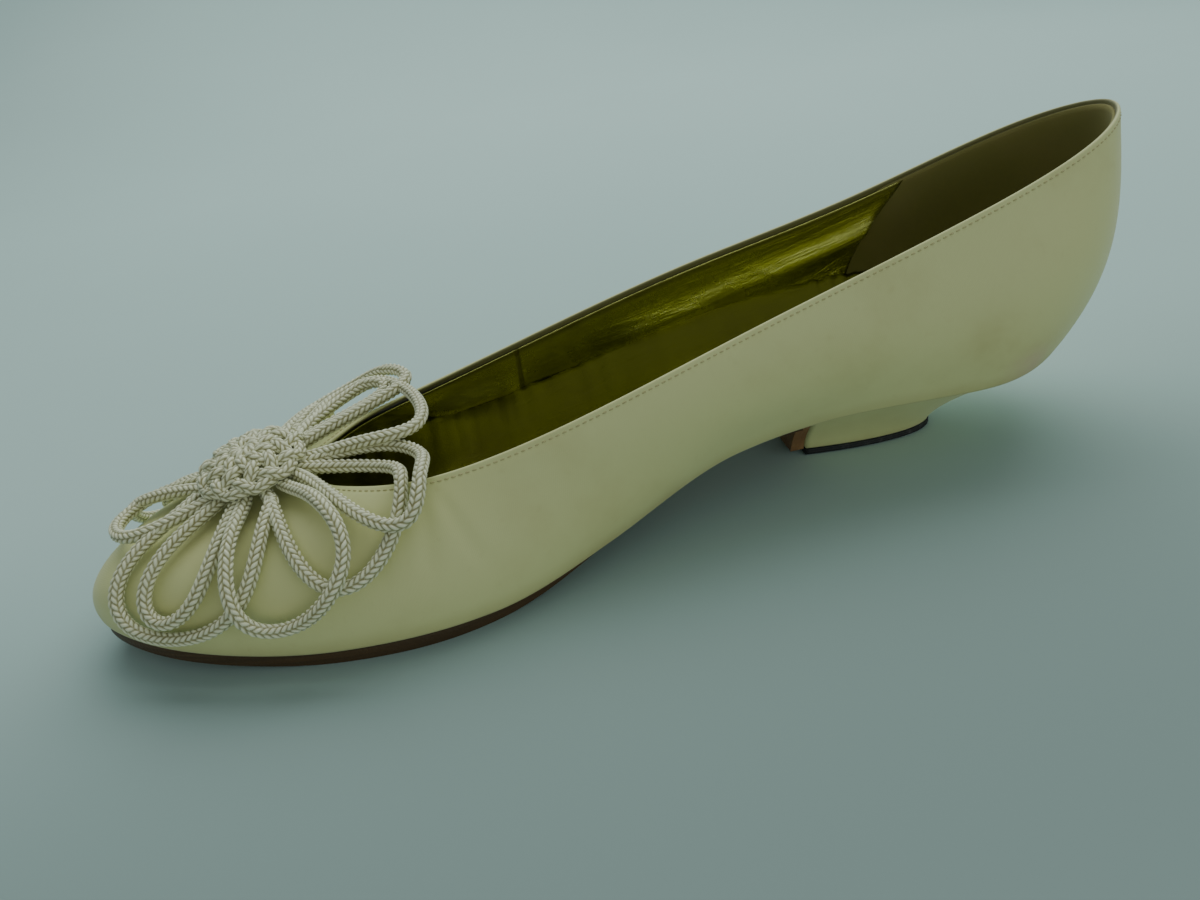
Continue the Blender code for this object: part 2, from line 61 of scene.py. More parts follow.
# One row for each section of the upper's wall, round the shoe from the back by the inner side and the toe.
# foot_along, top_along: percent of the length from the back. foot_side, top_side: percent of the ball width
# from the middle line, inner side positive. top_height: percent of the topline's height at the back.
# rise, swell: how far the wall's lower curve reaches up and out, in mm.
# drop, lean: how far its upper curve reaches down and out, in mm.
# inset: how far the sole's edge lies inside the wall's foot, in mm.
SECTION_COLUMNS = "foot_along foot_side top_along top_side top_height rise swell drop lean inset"
Section = namedtuple("Section", SECTION_COLUMNS)
SECTIONS = {
    "back":          Section(4.2, -6.0, 1.2, -5.0, 100.0, 18, 11.0, 20, 1.5, 2.0),
    "inner_counter": Section(9.5, 17.5, 5.2, 12.0, 96.0, 17, 9.5, 18, 6, 2.0),
    "inner_heel":    Section(19.8, 25.5, 20.6, 21.5, 80.5, 16, 6.5, 15, 7, 2.0),
    "inner_waist":   Section(34.1, 21.0, 38.1, 27.0, 66.0, 14, 7.0, 12, 6, 5.0),
    "inner_arch":    Section(50.8, 32.0, 55.6, 34.5, 52.5, 12, 6.0, 10, 5, 5.5),
    "inner_ball":    Section(67.5, 49.5, 67.5, 32.0, 45.0, 12, 3.0, 6, 8, 1.0),
    "inner_toe":     Section(84.1, 43.0, 73.8, 21.0, 42.0, 13, 2.5, 4, 15, 1.0),
    "inner_tip":     Section(94.2, 28.5, 76.2, 11.5, 41.0, 13, 2.0, 3, 26, 1.0),
    "toe_tip":       Section(98.0, 12.0, 77.0, 2.5, 42.0, 13, 2.0, 4, 34, 1.0),
    "outer_tip":     Section(95.0, -7.5, 76.2, -7.0, 41.0, 13, 2.0, 3, 26, 1.0),
    "outer_toe":     Section(85.7, -32.0, 73.8, -18.0, 41.0, 13, 2.5, 4, 15, 1.0),
    "outer_ball":    Section(63.5, -51.7, 66.7, -31.0, 43.0, 12, 3.0, 6, 8, 1.0),
    "outer_arch":    Section(47.6, -50.0, 54.8, -37.0, 51.0, 12, 4.0, 10, 5, 1.5),
    "outer_waist":   Section(32.5, -44.5, 38.1, -37.5, 64.5, 14, 5.0, 12, 6, 2.0),
    "outer_heel":    Section(19.0, -40.0, 20.6, -33.5, 78.0, 16, 6.0, 15, 7, 2.0),
    "outer_counter": Section(9.5, -30.0, 5.2, -22.5, 95.0, 17, 9.0, 18, 6, 2.0),
}

# Height of the foot bed: percent of the length from the back, share of the heel's height, sole thicknesses,
# share of the toe spring. The height is the sum of the three.
BED = (
    (0, 1.00, 0, 0),
    (28, 0.94, 0, 0),
    (40, 0.80, 0, 0),
    (53, 0.36, 0, 0),
    (64, 0.00, 1, 0),
    (77, 0.00, 1, 0),
    (100, 0.00, 1, 1),
)

# Cord loops of the flower. heading: degrees from the toe direction, inner side positive.
# reach: tip's distance from the middle, mm. width: added in the widest place, mm.
# root: between the two strands at the knot, mm. sway: sideways bow of the tip, mm.
# lift: how far the tip stands off the vamp, mm. over: 1 where the loop passes over its neighbours, else 0.
Loop = namedtuple("Loop", "heading reach width root sway lift over")
LOOPS = {
    "toe": Loop(-1, 33, 12, 9, -3, 1, 0),
    "inner_toe_wide": Loop(54, 40, 20, 20, -7, 0, 0),
    "inner_toe": Loop(52, 37, 11, 4, -5, 0, 0),
    "inner_side": Loop(98, 40, 23, 7, -2, 0, 1),
    "inner_back": Loop(126, 42, 25, 8, -2, 0, 0),
    "inner_back_small": Loop(150, 44, 21, 2, -9, 2, 0),
    "back": Loop(196, 38, 33, 9, -2, 1, 1),
    "outer_back": Loop(226, 40, 18, 8, -9, 6, 0),
    "outer_back_small": Loop(221, 36, 7, 4, -6, 4, 0),
    "outer_side": Loop(262, 39, 21, 7, 2, 0, 1),
    "outer_toe_wide": Loop(309, 37, 19, 17, 6, 3, 0),
    "outer_toe": Loop(311, 35, 10, 4, 4, 0, 0),
}

# Shallow creases of the satin where the foot bends. x: in mm. inner: whether on the inner side.
# lean: how far it leans from the wall's foot to the topline, in mm. depth: in mm.
Crease = namedtuple("Crease", "x inner lean depth")
CREASES = (
    Crease(38, True, 6, 0.16),
    Crease(46, True, -3, 0.20),
    Crease(55, True, 5, 0.14),
    Crease(36, False, -5, 0.18),
    Crease(47, False, 4, 0.18),
)
CREASE_WIDTH = 2.2 * MM

# Places where the sock's outer edge has come loose. x, spread, height: in mm.
Loose = namedtuple("Loose", "x spread height")
LOOSE_EDGE = (Loose(38, 5, 0.9), Loose(23, 4, 0.8), Loose(-67, 8, 1.0))

# Top piece of the heel: how far its middle lies to the outer side, and how far it turns from the shoe's axis.
LIFT_SIDE = -9.2 * MM
LIFT_SKEW = -0.20
# Powers that fill out the top piece's half oval, along and across, and that hollow the heel behind.
OVAL_ALONG, OVAL_ACROSS, HEEL_HOLLOW = 0.85, 0.8, 1.4

STITCH_DROP = 1.3 * MM      # topline to the row of stitches
LINING_END = -72 * MM       # where the gold lining ends on each side
LINING_SEAM = 19.0          # seam of the gold lining across the vamp, mm from the origin

# Soft lights: place and target in metres, size across and up in metres, colour.
Light = namedtuple("Light", "place target size tint")
LIGHTS = {
    "key": Light((-0.14, -0.52, 0.72), (0.0, -0.1, 0.02), (1.3, 0.9), (0.93, 1.0, 0.97)),
    "fill": Light((-0.50, 1.3, 0.42), (0, 0, 0.03), (1.8, 0.8), (0.93, 1.0, 0.93)),
}
SKY_TINT = (0.86, 0.96, 0.96)
SENSOR = 36                 # width of the camera's sensor, mm

# Settings

def length(label, description, default):
    """A size in metres."""
    return FloatProperty(
        name=label, description=description, default=default, min=0, unit="LENGTH", precision=5
    )


def angle(label, description, degrees):
    """An angle, given in degrees."""
    return FloatProperty(name=label, description=description, default=np.radians(degrees), subtype="ANGLE")


def colour(label, description, default):
    """A linear colour."""
    return FloatVectorProperty(
        name=label, description=description, default=default, size=3, min=0, max=1, subtype="COLOR"
    )


class ShoeSizes(bpy.types.PropertyGroup):
    """Sizes of the shoe's own pieces."""

    length: length("Length", "What the tables' percents count from", 252 * MM)
    ball_width: length("Ball width", "Across the feather line at the ball", 75 * MM)
    heel_height: length("Heel height", "Floor to the heel seat", 19.5 * MM)
    back_height: length("Back height", "Heel seat to the topline at the back", 52 * MM)
    toe_spring: length("Toe spring", "Floor to the sole under the toe tip", 6.5 * MM)
    wall: length("Wall", "Satin, stiffener and lining together", 2.0 * MM)
    satin: length("Satin", "Satin with its backing, folded over at the topline", 1.0 * MM)
    sole: length("Sole", "Leather outsole", 3.4 * MM)
    insole: length("Insole", "Insole with its sock, along the middle", 1.6 * MM)
    cup: length("Cup", "How far the sock's edge stands above its middle", 11.5 * MM)
    lift: length("Top piece", "Top piece under the heel", 1.6 * MM)
    gap: length("Gap", "Between pieces that touch", 0.3 * MM)
    breast: length("Heel breast", "Back of the counter to the front of the heel", 79 * MM)
    lift_length: length("Top piece length", "Top piece from front to back", 35 * MM)
    lift_half_width: length("Top piece half width", "Half the width of the top piece", 13.2 * MM)
    stitch: length("Stitch", "Pitch of the stitches along the topline", 1.5 * MM)


class FlowerSizes(bpy.types.PropertyGroup):
    """Sizes of the cord flower."""

    cord: length("Cord", "Diameter of the braided cord", 3.2 * MM)
    pitch: length("Braid pitch", "One bump of the braid along the cord", 1.45 * MM)
    knot_radius: length("Knot radius", "The plaited middle", 12.5 * MM)
    knot_height: length("Knot height", "The plaited middle above the vamp", 9.5 * MM)
    loop_root: length("Loop root", "Flower's middle to where a loop starts, under the knot", 7.5 * MM)
    loop_gap: length("Loop gap", "Vamp to a loop, before its path is smoothed", 1.1 * MM)
    place: FloatProperty(
        name="Place", description="Share of the vamp from the toe's feather line to the throat",
        default=0.885, min=0, max=1, subtype="FACTOR",
    )


class ShoeColours(bpy.types.PropertyGroup):
    """Colours of the shoe and of the floor, linear."""

    satin: colour("Satin", "Ivory satin of the upper and the heel", (0.70, 0.71, 0.34))
    soil: colour("Soil", "Worn and yellowed places of the satin", (0.50, 0.45, 0.18))
    # topline: painted shade, the colour that darkens the inside of the satin's roll at the topline
    topline: colour("Topline edge", "Inner edge of the satin along the topline", (0.15, 0.135, 0.05))
    gold: colour("Gold", "Metallic leather of the lining", (0.68, 0.70, 0.21))
    # sock: the lining's gold darkened as painted shade, for the sock lying in the hollow of the shoe
    sock: colour("Sock", "Duller gold leather of the sock", (0.23, 0.235, 0.026))
    # Rubbed places of the gold, and painted shade where the lining's top band and the whole sock are
    # darkened.
    gold_wear_and_shade: colour("Worn gold", "Rubbed and darkened places of the gold", (0.20, 0.19, 0.035))
    counter: colour("Counter lining", "Brushed leather behind the heel", (0.26, 0.24, 0.07))
    leather: colour("Sole leather", "Underside of the sole", (0.42, 0.23, 0.095))
    edge: colour("Sole edge", "Stained edge of the sole", (0.060, 0.034, 0.013))
    rubber: colour("Top piece", "Rubber of the top piece", (0.018, 0.018, 0.02))
    cord: colour("Cord", "Braided cord", (0.88, 0.89, 0.64))
    cord_shade: colour("Cord grooves", "Between the strands of the braid", (0.27, 0.24, 0.07))
    thread: colour("Thread", "Stitches along the topline", (0.42, 0.35, 0.17))
    floor: colour("Floor", "Plain floor", (0.48, 0.64, 0.62))


class StageSettings(bpy.types.PropertyGroup):
    """Camera and light."""

    azimuth: angle("Azimuth", "Camera's turn from the inner side towards the toe", 5.92)
    elevation: angle("Elevation", "Camera's height above the target", 30.81)
    roll: angle("Roll", "Camera's turn about its own axis", -10.01)
    distance: length("Distance", "Camera to target", 185.56 * MM)
    target: FloatVectorProperty(
        name="Target", description="What the camera looks at", default=(7.73 * MM, 25.29 * MM, 30 * MM),
        size=3, subtype="TRANSLATION", unit="LENGTH",
    )
    lens: FloatProperty(
        name="Lens", description="Focal length on a 36 mm sensor", default=27.0, unit="CAMERA"
    )
    key: FloatProperty(name="Key light", description="Power of the large light", default=7.0, unit="POWER")
    fill: FloatProperty(name="Fill light", description="Power of the second light", default=4.2, unit="POWER")
    sky: FloatProperty(name="Sky", description="Strength of the light from all sides", default=0.26, min=0)


# Curves and surfaces

def unit(vectors):
    """Vectors of length one."""
    return vectors / np.linalg.norm(vectors, axis=-1, keepdims=True)


def ease(value, start, end):
    """0 before start, 1 after end, and a smooth step between them."""
    t = np.clip((value - start) / (end - start), 0, 1)
    return t**2 * (3 - 2 * t)


def hermite(t, width, start, end, start_slope, end_slope):
    """Cubic between two values with their slopes, at the share t of the width between them."""
    return (
        (1 + 2 * t) * (1 - t) ** 2 * start
        + t * (1 - t) ** 2 * width * start_slope
        + t**2 * (3 - 2 * t) * end
        + t**2 * (t - 1) * width * end_slope
    )


def periodic_spline(knots, values, period):
    """A smooth closed curve through the values: the slopes solve the usual tridiagonal system."""
    count = len(knots)
    step = np.diff(np.append(knots, knots[0] + period))
    before = np.roll(step, 1)
    chord = (np.roll(values, -1, 0) - values) / step[:, None]
    here = np.arange(count)
    system = np.zeros((count, count))
    system[here, here - 1] += step
    system[here, here] += 2 * (before + step)
    system[here, (here + 1) % count] += before
    slopes = np.linalg.solve(system, 3 * (step[:, None] * np.roll(chord, 1, 0) + before[:, None] * chord))

    def evaluate(places):
        places = np.mod(places - knots[0], period) + knots[0]
        i = np.clip(np.searchsorted(knots, places, side="right") - 1, 0, count - 1)
        j = (i + 1) % count
        t = ((places - knots[i]) / step[i])[..., None]
        return hermite(t, step[i][..., None], values[i], values[j], slopes[i], slopes[j])

    return evaluate


def smoothed(line, rounds):
    """A line of points with eased corners and its ends kept. A round averages each with its neighbours."""
    for _ in range(rounds):
        line = np.concatenate([line[:1], (line[:-2] + 2 * line[1:-1] + line[2:]) / 4, line[-1:]])
    return line


def run_along(line):
    """Distance along a line of points, from its first one."""
    return np.concatenate([[0], np.cumsum(np.linalg.norm(np.diff(line, axis=0), axis=1))])


def evenly(line, count, carried=None):
    """Points at equal distances along a line, and what is carried along it read at the same places."""
    run = run_along(line)
    even = np.linspace(0, run[-1], count)
    carried = line if carried is None else carried
    return np.stack([np.interp(even, run, values) for values in carried.T], -1)


class Last:
    """The shoe's shape: its sections, its foot bed, and the wall from the feather line to the topline."""

    def __init__(self, sizes, flower):
        self.sizes = sizes
        self.flower = flower
        rows = np.array(list(SECTIONS.values()), float)
        scale = np.array([sizes.length, sizes.ball_width]) / 100
        edges = rows[:, 0:2] * scale, rows[:, 2:4] * scale
        run = sum(np.linalg.norm(np.roll(edge, -1, 0) - edge, axis=1) for edge in edges) / 2
        self.places = np.concatenate([[0], np.cumsum(run)[:-1]])
        self.period = run.sum()
        self.table = periodic_spline(self.places, rows, self.period)
        self.toe_place = self.places[list(SECTIONS).index("toe_tip")]
        self.breast_x = self.along(0) + sizes.breast

    def along(self, percent):
        """Distance from the origin along X for a percent of the length from the back."""
        return (np.asarray(percent) - MIDDLE) / 100 * self.sizes.length

    def bed(self, x):
        """Height of the foot bed: a curve through its table that stays level where two rows are level."""
        rows = np.array(BED, float)
        places = self.along(rows[:, 0])
        heights = rows[:, 1:] @ [self.sizes.heel_height, self.sizes.sole, self.sizes.toe_spring]
        secant = np.diff(heights) / np.diff(places)
        product = secant[:-1] * secant[1:]
        inner = np.where(product > 0, 2 * product / np.where(product > 0, secant[:-1] + secant[1:], 1), 0)
        slopes = np.concatenate([[secant[0]], inner, [secant[-1]]])
        x = np.clip(x, places[0], places[-1])
        i = np.clip(np.searchsorted(places, x, side="right") - 1, 0, len(secant) - 1)
        width = places[i + 1] - places[i]
        t = (x - places[i]) / width
        return hermite(t, width, heights[i], heights[i + 1], slopes[i], slopes[i + 1])

    def column(self, place, name):
        """One column of the section table, read between its rows."""
        return self.table(place)[..., Section._fields.index(name)]

    def foot(self, place):
        """Feather line seen from above."""
        side = self.column(place, "foot_side") / 100 * self.sizes.ball_width
        return np.stack([self.along(self.column(place, "foot_along")), side], -1)

    def outward(self, place):
        """Unit direction, seen from above, square to the feather line and away from the shoe."""
        reach = self.period / 2000
        along = unit(self.foot(place + reach) - self.foot(place - reach))
        return np.stack([-along[..., 1], along[..., 0]], -1)

    def wall(self, place, share):
        """Outer face of the upper: a cubic curve from the feather line (share 0) to the topline (share 1)."""
        place, share = np.broadcast_arrays(place, share)
        sizes = self.sizes
        out = self.outward(place)
        foot = self.foot(place)
        foot_z = self.bed(foot[..., 0]) + sizes.gap
        top_side = self.column(place, "top_side") / 100 * sizes.ball_width
        top = np.stack([self.along(self.column(place, "top_along")), top_side], -1)
        top_z = self.column(place, "top_height") / 100 * (sizes.heel_height + sizes.back_height)
        low = foot + out * self.column(place, "swell")[..., None] * MM
        low_z = foot_z + self.column(place, "rise") * MM
        high = top + out * self.column(place, "lean")[..., None] * MM
        high_z = top_z - self.column(place, "drop") * MM
        weights = (1 - share) ** 3, 3 * share * (1 - share) ** 2, 3 * share**2 * (1 - share), share**3
        plan = sum(w[..., None] * p for w, p in zip(weights, (foot, low, high, top)))
        height = sum(w * z for w, z in zip(weights, (foot_z, low_z, high_z, top_z)))
        return np.concatenate([plan, height[..., None]], -1)

    def slopes(self, place, share):
        """How the outer face runs round the shoe and up the wall."""
        reach_round, reach_up = self.period / 4000, 0.002
        round_it = self.wall(place + reach_round, share) - self.wall(place - reach_round, share)
        up_it = self.wall(place, share + reach_up) - self.wall(place, share - reach_up)
        return round_it / (2 * reach_round), up_it / (2 * reach_up)

    def skin(self, place, share):
        """Outer face of the upper with its unit normals, out of the wall, and its unit directions up it."""
        round_it, up_it = self.slopes(place, share)
        return self.wall(place, share), unit(np.cross(up_it, round_it)), unit(up_it)

    def below_top(self, place, distance):
        """Share of the wall at a distance below the topline."""
        return 1 - distance / np.linalg.norm(self.slopes(place, np.ones_like(place))[1], axis=-1)

    def place_at(self, x, inner):
        """Place on the inner or outer side where the middle of the wall is at x."""
        sides = (0, self.toe_place) if inner else (self.period, self.toe_place)
        places = np.linspace(*sides, 400)
        return np.interp(x, self.wall(places, np.full(400, 0.6))[:, 0], places)

    def on_vamp(self, heading, distance):
        """Points at a heading (radians) and distance from the flower's middle, walked straight over the vamp.

        Returns the points and the wall's unit normals there. Past the throat the walk goes straight on.
        """
        place = np.full(heading.shape, self.toe_place)
        share = np.full(heading.shape, self.flower.place)
        round_it, up_it = self.slopes(place, share)
        to_toe = unit(-up_it)
        normal = unit(np.cross(up_it, round_it))
        way = np.cos(heading)[..., None] * to_toe + np.sin(heading)[..., None] * np.cross(normal, to_toe)
        steps = 40
        point = self.wall(place, share)
        for _ in range(steps):
            on_wall = share < 1
            way = unit(way - normal * (way * normal).sum(-1, keepdims=True))
            pairs = (round_it, round_it), (round_it, up_it), (up_it, up_it)
            rr, ru, uu = ((a * b).sum(-1) for a, b in pairs)
            wr, wu = (way * round_it).sum(-1), (way * up_it).sum(-1)
            step = np.where(on_wall, distance / steps / (rr * uu - ru**2), 0)
            place = place + step * (uu * wr - ru * wu)
            share = share + step * (rr * wu - ru * wr)
            round_it, up_it = self.slopes(place, share)
            normal = unit(np.cross(up_it, round_it))
            flight = point + way * (distance / steps)[..., None]
            point = np.where(on_wall[..., None], self.wall(place, share), flight)
        return point, normal

    def loop_base(self, loop, count):
        """One cord loop on the vamp: out from the knot, round its tip and back.

        Returns its points, the wall's normals there, and the share of the way out to the tip. The way out
        follows a raised cosine, and the two strands part like the edges of a leaf.
        """
        t = np.linspace(0, 1, count)
        root = self.flower.loop_root
        out_share = (1 - np.cos(2 * np.pi * t)) / 2
        along = root + (loop.reach * MM - root) * out_share
        leaf = np.sin(2 * np.pi * t) * np.sin(np.pi * t) ** 2
        side = loop.width / 2 * leaf / leaf.max()
        side = (side + loop.root / 2 * np.cos(np.pi * t) + loop.sway * out_share**2) * MM
        heading = np.radians(loop.heading) + np.arctan2(side, along)
        points, normals = self.on_vamp(heading, np.hypot(along, side))
        return points, normals, out_share

    def loop_path(self, name, bases, spacing):
        """Middle line of one cord with normals: on the vamp, higher where it passes over a lower loop."""
        loop = LOOPS[name]
        cord = self.flower.cord
        base, normal, out_share = bases[name]
        under = np.concatenate([bases[other][0] for other in LOOPS if not LOOPS[other].over])
        middle = self.on_vamp(np.zeros(1), np.zeros(1))[0]
        under = under[np.linalg.norm(under - middle, axis=1) > self.flower.knot_radius]
        nearest = np.linalg.norm(base[:, None] - under, axis=-1).min(1)
        crossing = loop.over * (1 - ease(nearest, 0.75 * cord, 2.25 * cord)) * ease(out_share, 0.15, 0.45)
        height = cord / 2 + self.flower.loop_gap + 1.1 * cord * crossing + loop.lift * MM * out_share
        line = smoothed(base + normal * height[:, None], 60)
        count = int(run_along(line)[-1] / spacing)
        return evenly(line, count), unit(evenly(line, count, normal))

    def side_edges(self, inset):
        """Feather line moved inward, as one curve along each side from the back to the toe."""
        place = np.linspace(0, self.period, 2400, endpoint=False)
        edge = self.foot(place) - self.outward(place) * np.broadcast_to(inset, place.shape)[:, None]
        return self.split(edge)

    @staticmethod
    def split(ring):
        """A ring of points round the shoe, cut at its back and its toe into an inner and an outer side."""
        ring = np.roll(ring, -ring[:, 0].argmin(), 0)
        toe = ring[:, 0].argmax()
        return ring[: toe + 1], np.concatenate([ring[toe:], ring[:1]])[::-1]

    def sole_edges(self):
        """Edges of the sole and of the heel seat, set in under the upper as the table says."""
        place = np.linspace(0, self.period, 2400, endpoint=False)
        return self.side_edges(self.column(place, "inset") * MM)

    def seat_outline(self, count):
        """Heel seat in plan, from the inner breast corner round the back to the outer one, evenly spaced."""
        inner, outer = (edge[edge[:, 0] < self.breast_x] for edge in self.sole_edges())
        outline = evenly(np.concatenate([inner[::-1], outer[1:]]), count)
        outline[[0, -1], 0] = self.breast_x
        return outline

    def lift_outline(self, count):
        """Top piece in plan, in the same order: a full half oval behind the breast."""
        turn = np.linspace(0, np.pi, count)
        x = self.breast_x - self.sizes.lift_length * np.sin(turn) ** OVAL_ALONG
        side = self.sizes.lift_half_width * np.sign(np.cos(turn)) * np.abs(np.cos(turn)) ** OVAL_ACROSS
        skew = LIFT_SKEW * (x - self.breast_x + self.sizes.lift_length / 2)
        return np.stack([x, side + skew + LIFT_SIDE], -1)

    def heel_rings(self, share, count):
        """Outlines of the heel block, hollowed behind, at shares of the way from seat to top piece."""
        seat, lift = self.seat_outline(count), self.lift_outline(count)
        share = np.asarray(share)[..., None]
        taper = (1 - (1 - share) ** HEEL_HOLLOW)[..., None]
        height = self.bed(seat[:, 0]) * (1 - share) + (self.sizes.lift + self.sizes.gap) * share
        return np.concatenate([seat * (1 - taper) + lift * taper, height[..., None]], -1)


def grid_faces(rows, across, close_rows=False, close_across=False):
    """Quads of a grid of points stored row by row. Closed ways join the last row or column to the first."""
    i = np.arange(rows if close_rows else rows - 1)[:, None]
    j = np.arange(across if close_across else across - 1)
    below, right = (i + 1) % rows, (j + 1) % across
    corners = i * across + j, i * across + right, below * across + right, below * across + j
    return np.stack(corners, -1).reshape(-1, 4)


def grid_corners(u, v):
    """UV of each corner of a grid's quads, from u and v at every line of the grid, closing lines included."""
    uv = np.stack(np.broadcast_arrays(u, v), -1)
    return np.stack([uv[:-1, :-1], uv[:-1, 1:], uv[1:, 1:], uv[1:, :-1]], -2).reshape(-1, 4, 2)


def cap_faces(first, count, flip):
    """Strips that close an outline of an odd count of points from side to side, ending in one triangle."""
    i = np.arange(count // 2 - 1)
    strips = first + np.stack([i, i + 1, count - 2 - i, count - 1 - i], -1)
    tip = first + np.array([[count // 2 - 1, count // 2, count // 2 + 1]])
    return [strips[:, ::-1], tip[:, ::-1]] if flip else [strips, tip]


def inside_out(points, faces):
    """Whether a closed mesh has its faces turned inwards: the volume they enclose comes out negative."""
    corners = points[faces]
    across = np.cross(corners[:, 2] - corners[:, 0], corners[:, 3] - corners[:, 1])
    return ((corners.mean(1) - points.mean(0)) * across).sum() < 0


def add_piece(name, points, faces, finish, replaces=None, uv=None, relief=None):
    """Puts points and faces into a smooth-shaded mesh that rides on the shoe.

    faces is an array of quads, or a list of arrays. uv has one pair for each corner of a quad, and relief one
    value for each point. Points that coincide, as at the end of a cord, become one.
    """
    points = np.ascontiguousarray(points, float).reshape(-1, 3)
    if isinstance(faces, np.ndarray):
        if inside_out(points, faces):
            faces = faces[:, ::-1]
            uv = None if uv is None else uv[:, ::-1]
        faces = [faces]
    mesh = bpy.data.meshes.new(name)
    mesh.from_pydata(points.tolist(), [], [face for group in faces for face in group.tolist()])
    if uv is not None:
        mesh.uv_layers.new(name="cloth").data.foreach_set("uv", np.ascontiguousarray(uv, np.float32).ravel())
    if relief is not None:
        values = mesh.attributes.new("relief", "FLOAT", "POINT")
        values.data.foreach_set("value", np.ascontiguousarray(relief, np.float32).ravel())
    shape = bmesh.new()
    shape.from_mesh(mesh)
    bmesh.ops.remove_doubles(shape, verts=shape.verts, dist=1e-6)
    shape.to_mesh(mesh)
    shape.free()
    mesh.shade_smooth()
    mesh.materials.append(finish)
    piece = bpy.data.objects.new(name, mesh)
    bpy.context.scene.collection.objects.link(piece)
    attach(piece, BODY)
    if replaces:
        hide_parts(replaces)
    return piece


# Finishes

class Value:
    """A node's output. Maths on it adds Math nodes to its material."""

    def __init__(self, finish, output):
        self.finish = finish
        self.output = output

    def maths(self, operation, *terms):
        return self.finish.node("ShaderNodeMath", {"operation": operation}, dict(enumerate(terms)))

    def __add__(self, other):
        return self.maths("ADD", self, other)

    def __sub__(self, other):
        return self.maths("SUBTRACT", self, other)

    def __rsub__(self, other):
        return self.maths("SUBTRACT", other, self)

    def __mul__(self, other):
        return self.maths("MULTIPLY", self, other)

    def __truediv__(self, other):
        return self.maths("DIVIDE", self, other)

    __radd__ = __add__
    __rmul__ = __mul__

    def __abs__(self):
        return self.maths("ABSOLUTE", self)

    def sine(self):
        return self.maths("SINE", self)

    def within(self, start, end):
        """0 before start, 1 after end, and a smooth step between them."""
        sockets = {0: self, 1: start, 2: end, 3: 0.0, 4: 1.0}
        return self.finish.node("ShaderNodeMapRange", {"interpolation_type": "SMOOTHSTEP"}, sockets)


class Finish:
    """One procedural material around a Principled shader."""

    def __init__(self, name, **constants):
        self.material = bpy.data.materials.new(name)
        self.material.use_nodes = True
        self.tree = self.material.node_tree
        self.shader = self.tree.nodes["Principled BSDF"]
        for label, value in constants.items():
            self.shader.inputs[label.replace("_", " ")].default_value = value

    def node(self, kind, settings=None, sockets=None, output=0):
        """Adds a node: its settings first, then the values or links of its sockets."""
        made = self.tree.nodes.new(kind)
        for name, value in (settings or {}).items():
            setattr(made, name, value)
        for name, value in (sockets or {}).items():
            if isinstance(value, Value):
                self.tree.links.new(value.output, made.inputs[name])
            else:
                made.inputs[name].default_value = value
        return Value(self, made.outputs[output])

    def position(self):
        """The point's place on the shoe, in metres."""
        return self.node("ShaderNodeTexCoord", output="Object")

    def cloth(self):
        """The point's place on the piece's own surface, in millimetres."""
        return self.node("ShaderNodeUVMap", {"uv_map": "cloth"})

    def relief(self):
        """The piece's own value, from 0 to 1, that its points carry."""
        return self.node("ShaderNodeAttribute", {"attribute_name": "relief"}, None, "Fac")

    def parts(self, vector):
        """The three components of a vector."""
        split = self.node("ShaderNodeSeparateXYZ", None, {0: vector})
        outputs = split.output.node.outputs
        return [Value(self, outputs[i]) for i in range(3)]

    def stretched(self, vector, *scales):
        """Coordinates scaled by a factor for each axis."""
        return self.node("ShaderNodeVectorMath", {"operation": "MULTIPLY"}, {0: vector, 1: scales})

    def noise(self, vector, scale, detail=3.0, roughness=0.5, distortion=0.0):
        """Cloudy noise from 0 to 1."""
        sockets = {"Vector": vector, "Scale": scale, "Detail": detail}
        sockets |= {"Roughness": roughness, "Distortion": distortion}
        return self.node("ShaderNodeTexNoise", None, sockets)

    def cells(self, vector, scale):
        """Distance from the borders of a pattern of cells."""
        sockets = {"Vector": vector, "Scale": scale}
        return self.node("ShaderNodeTexVoronoi", {"feature": "DISTANCE_TO_EDGE"}, sockets)

    def spot(self, position, centre, radius):
        """1 in a round place on the shoe, fading to 0 at its radius. Centre and radius in millimetres."""
        sockets = {0: position, 1: tuple(c * MM for c in centre)}
        away = self.node("ShaderNodeVectorMath", {"operation": "DISTANCE"}, sockets, "Value")
        return 1 - away.within(0.25 * radius * MM, radius * MM)

    def mixed(self, factor, first, second):
        """A colour between two."""
        first, second = (c if isinstance(c, Value) else (*c, 1.0) for c in (first, second))
        return self.node("ShaderNodeMix", {"data_type": "RGBA"}, {0: factor, 6: first, 7: second}, 2)

    def wear(self, height=None, **looks):
        """Links what changes over the surface. Height is a relief in millimetres."""
        for label, value in looks.items():
            self.tree.links.new(value.output, self.shader.inputs[label.replace("_", " ")])
        if height is not None:
            bump = self.node("ShaderNodeBump", None, {"Strength": 1.0, "Distance": MM, "Height": height})
            self.tree.links.new(bump.output, self.shader.inputs["Normal"])
        return self.material


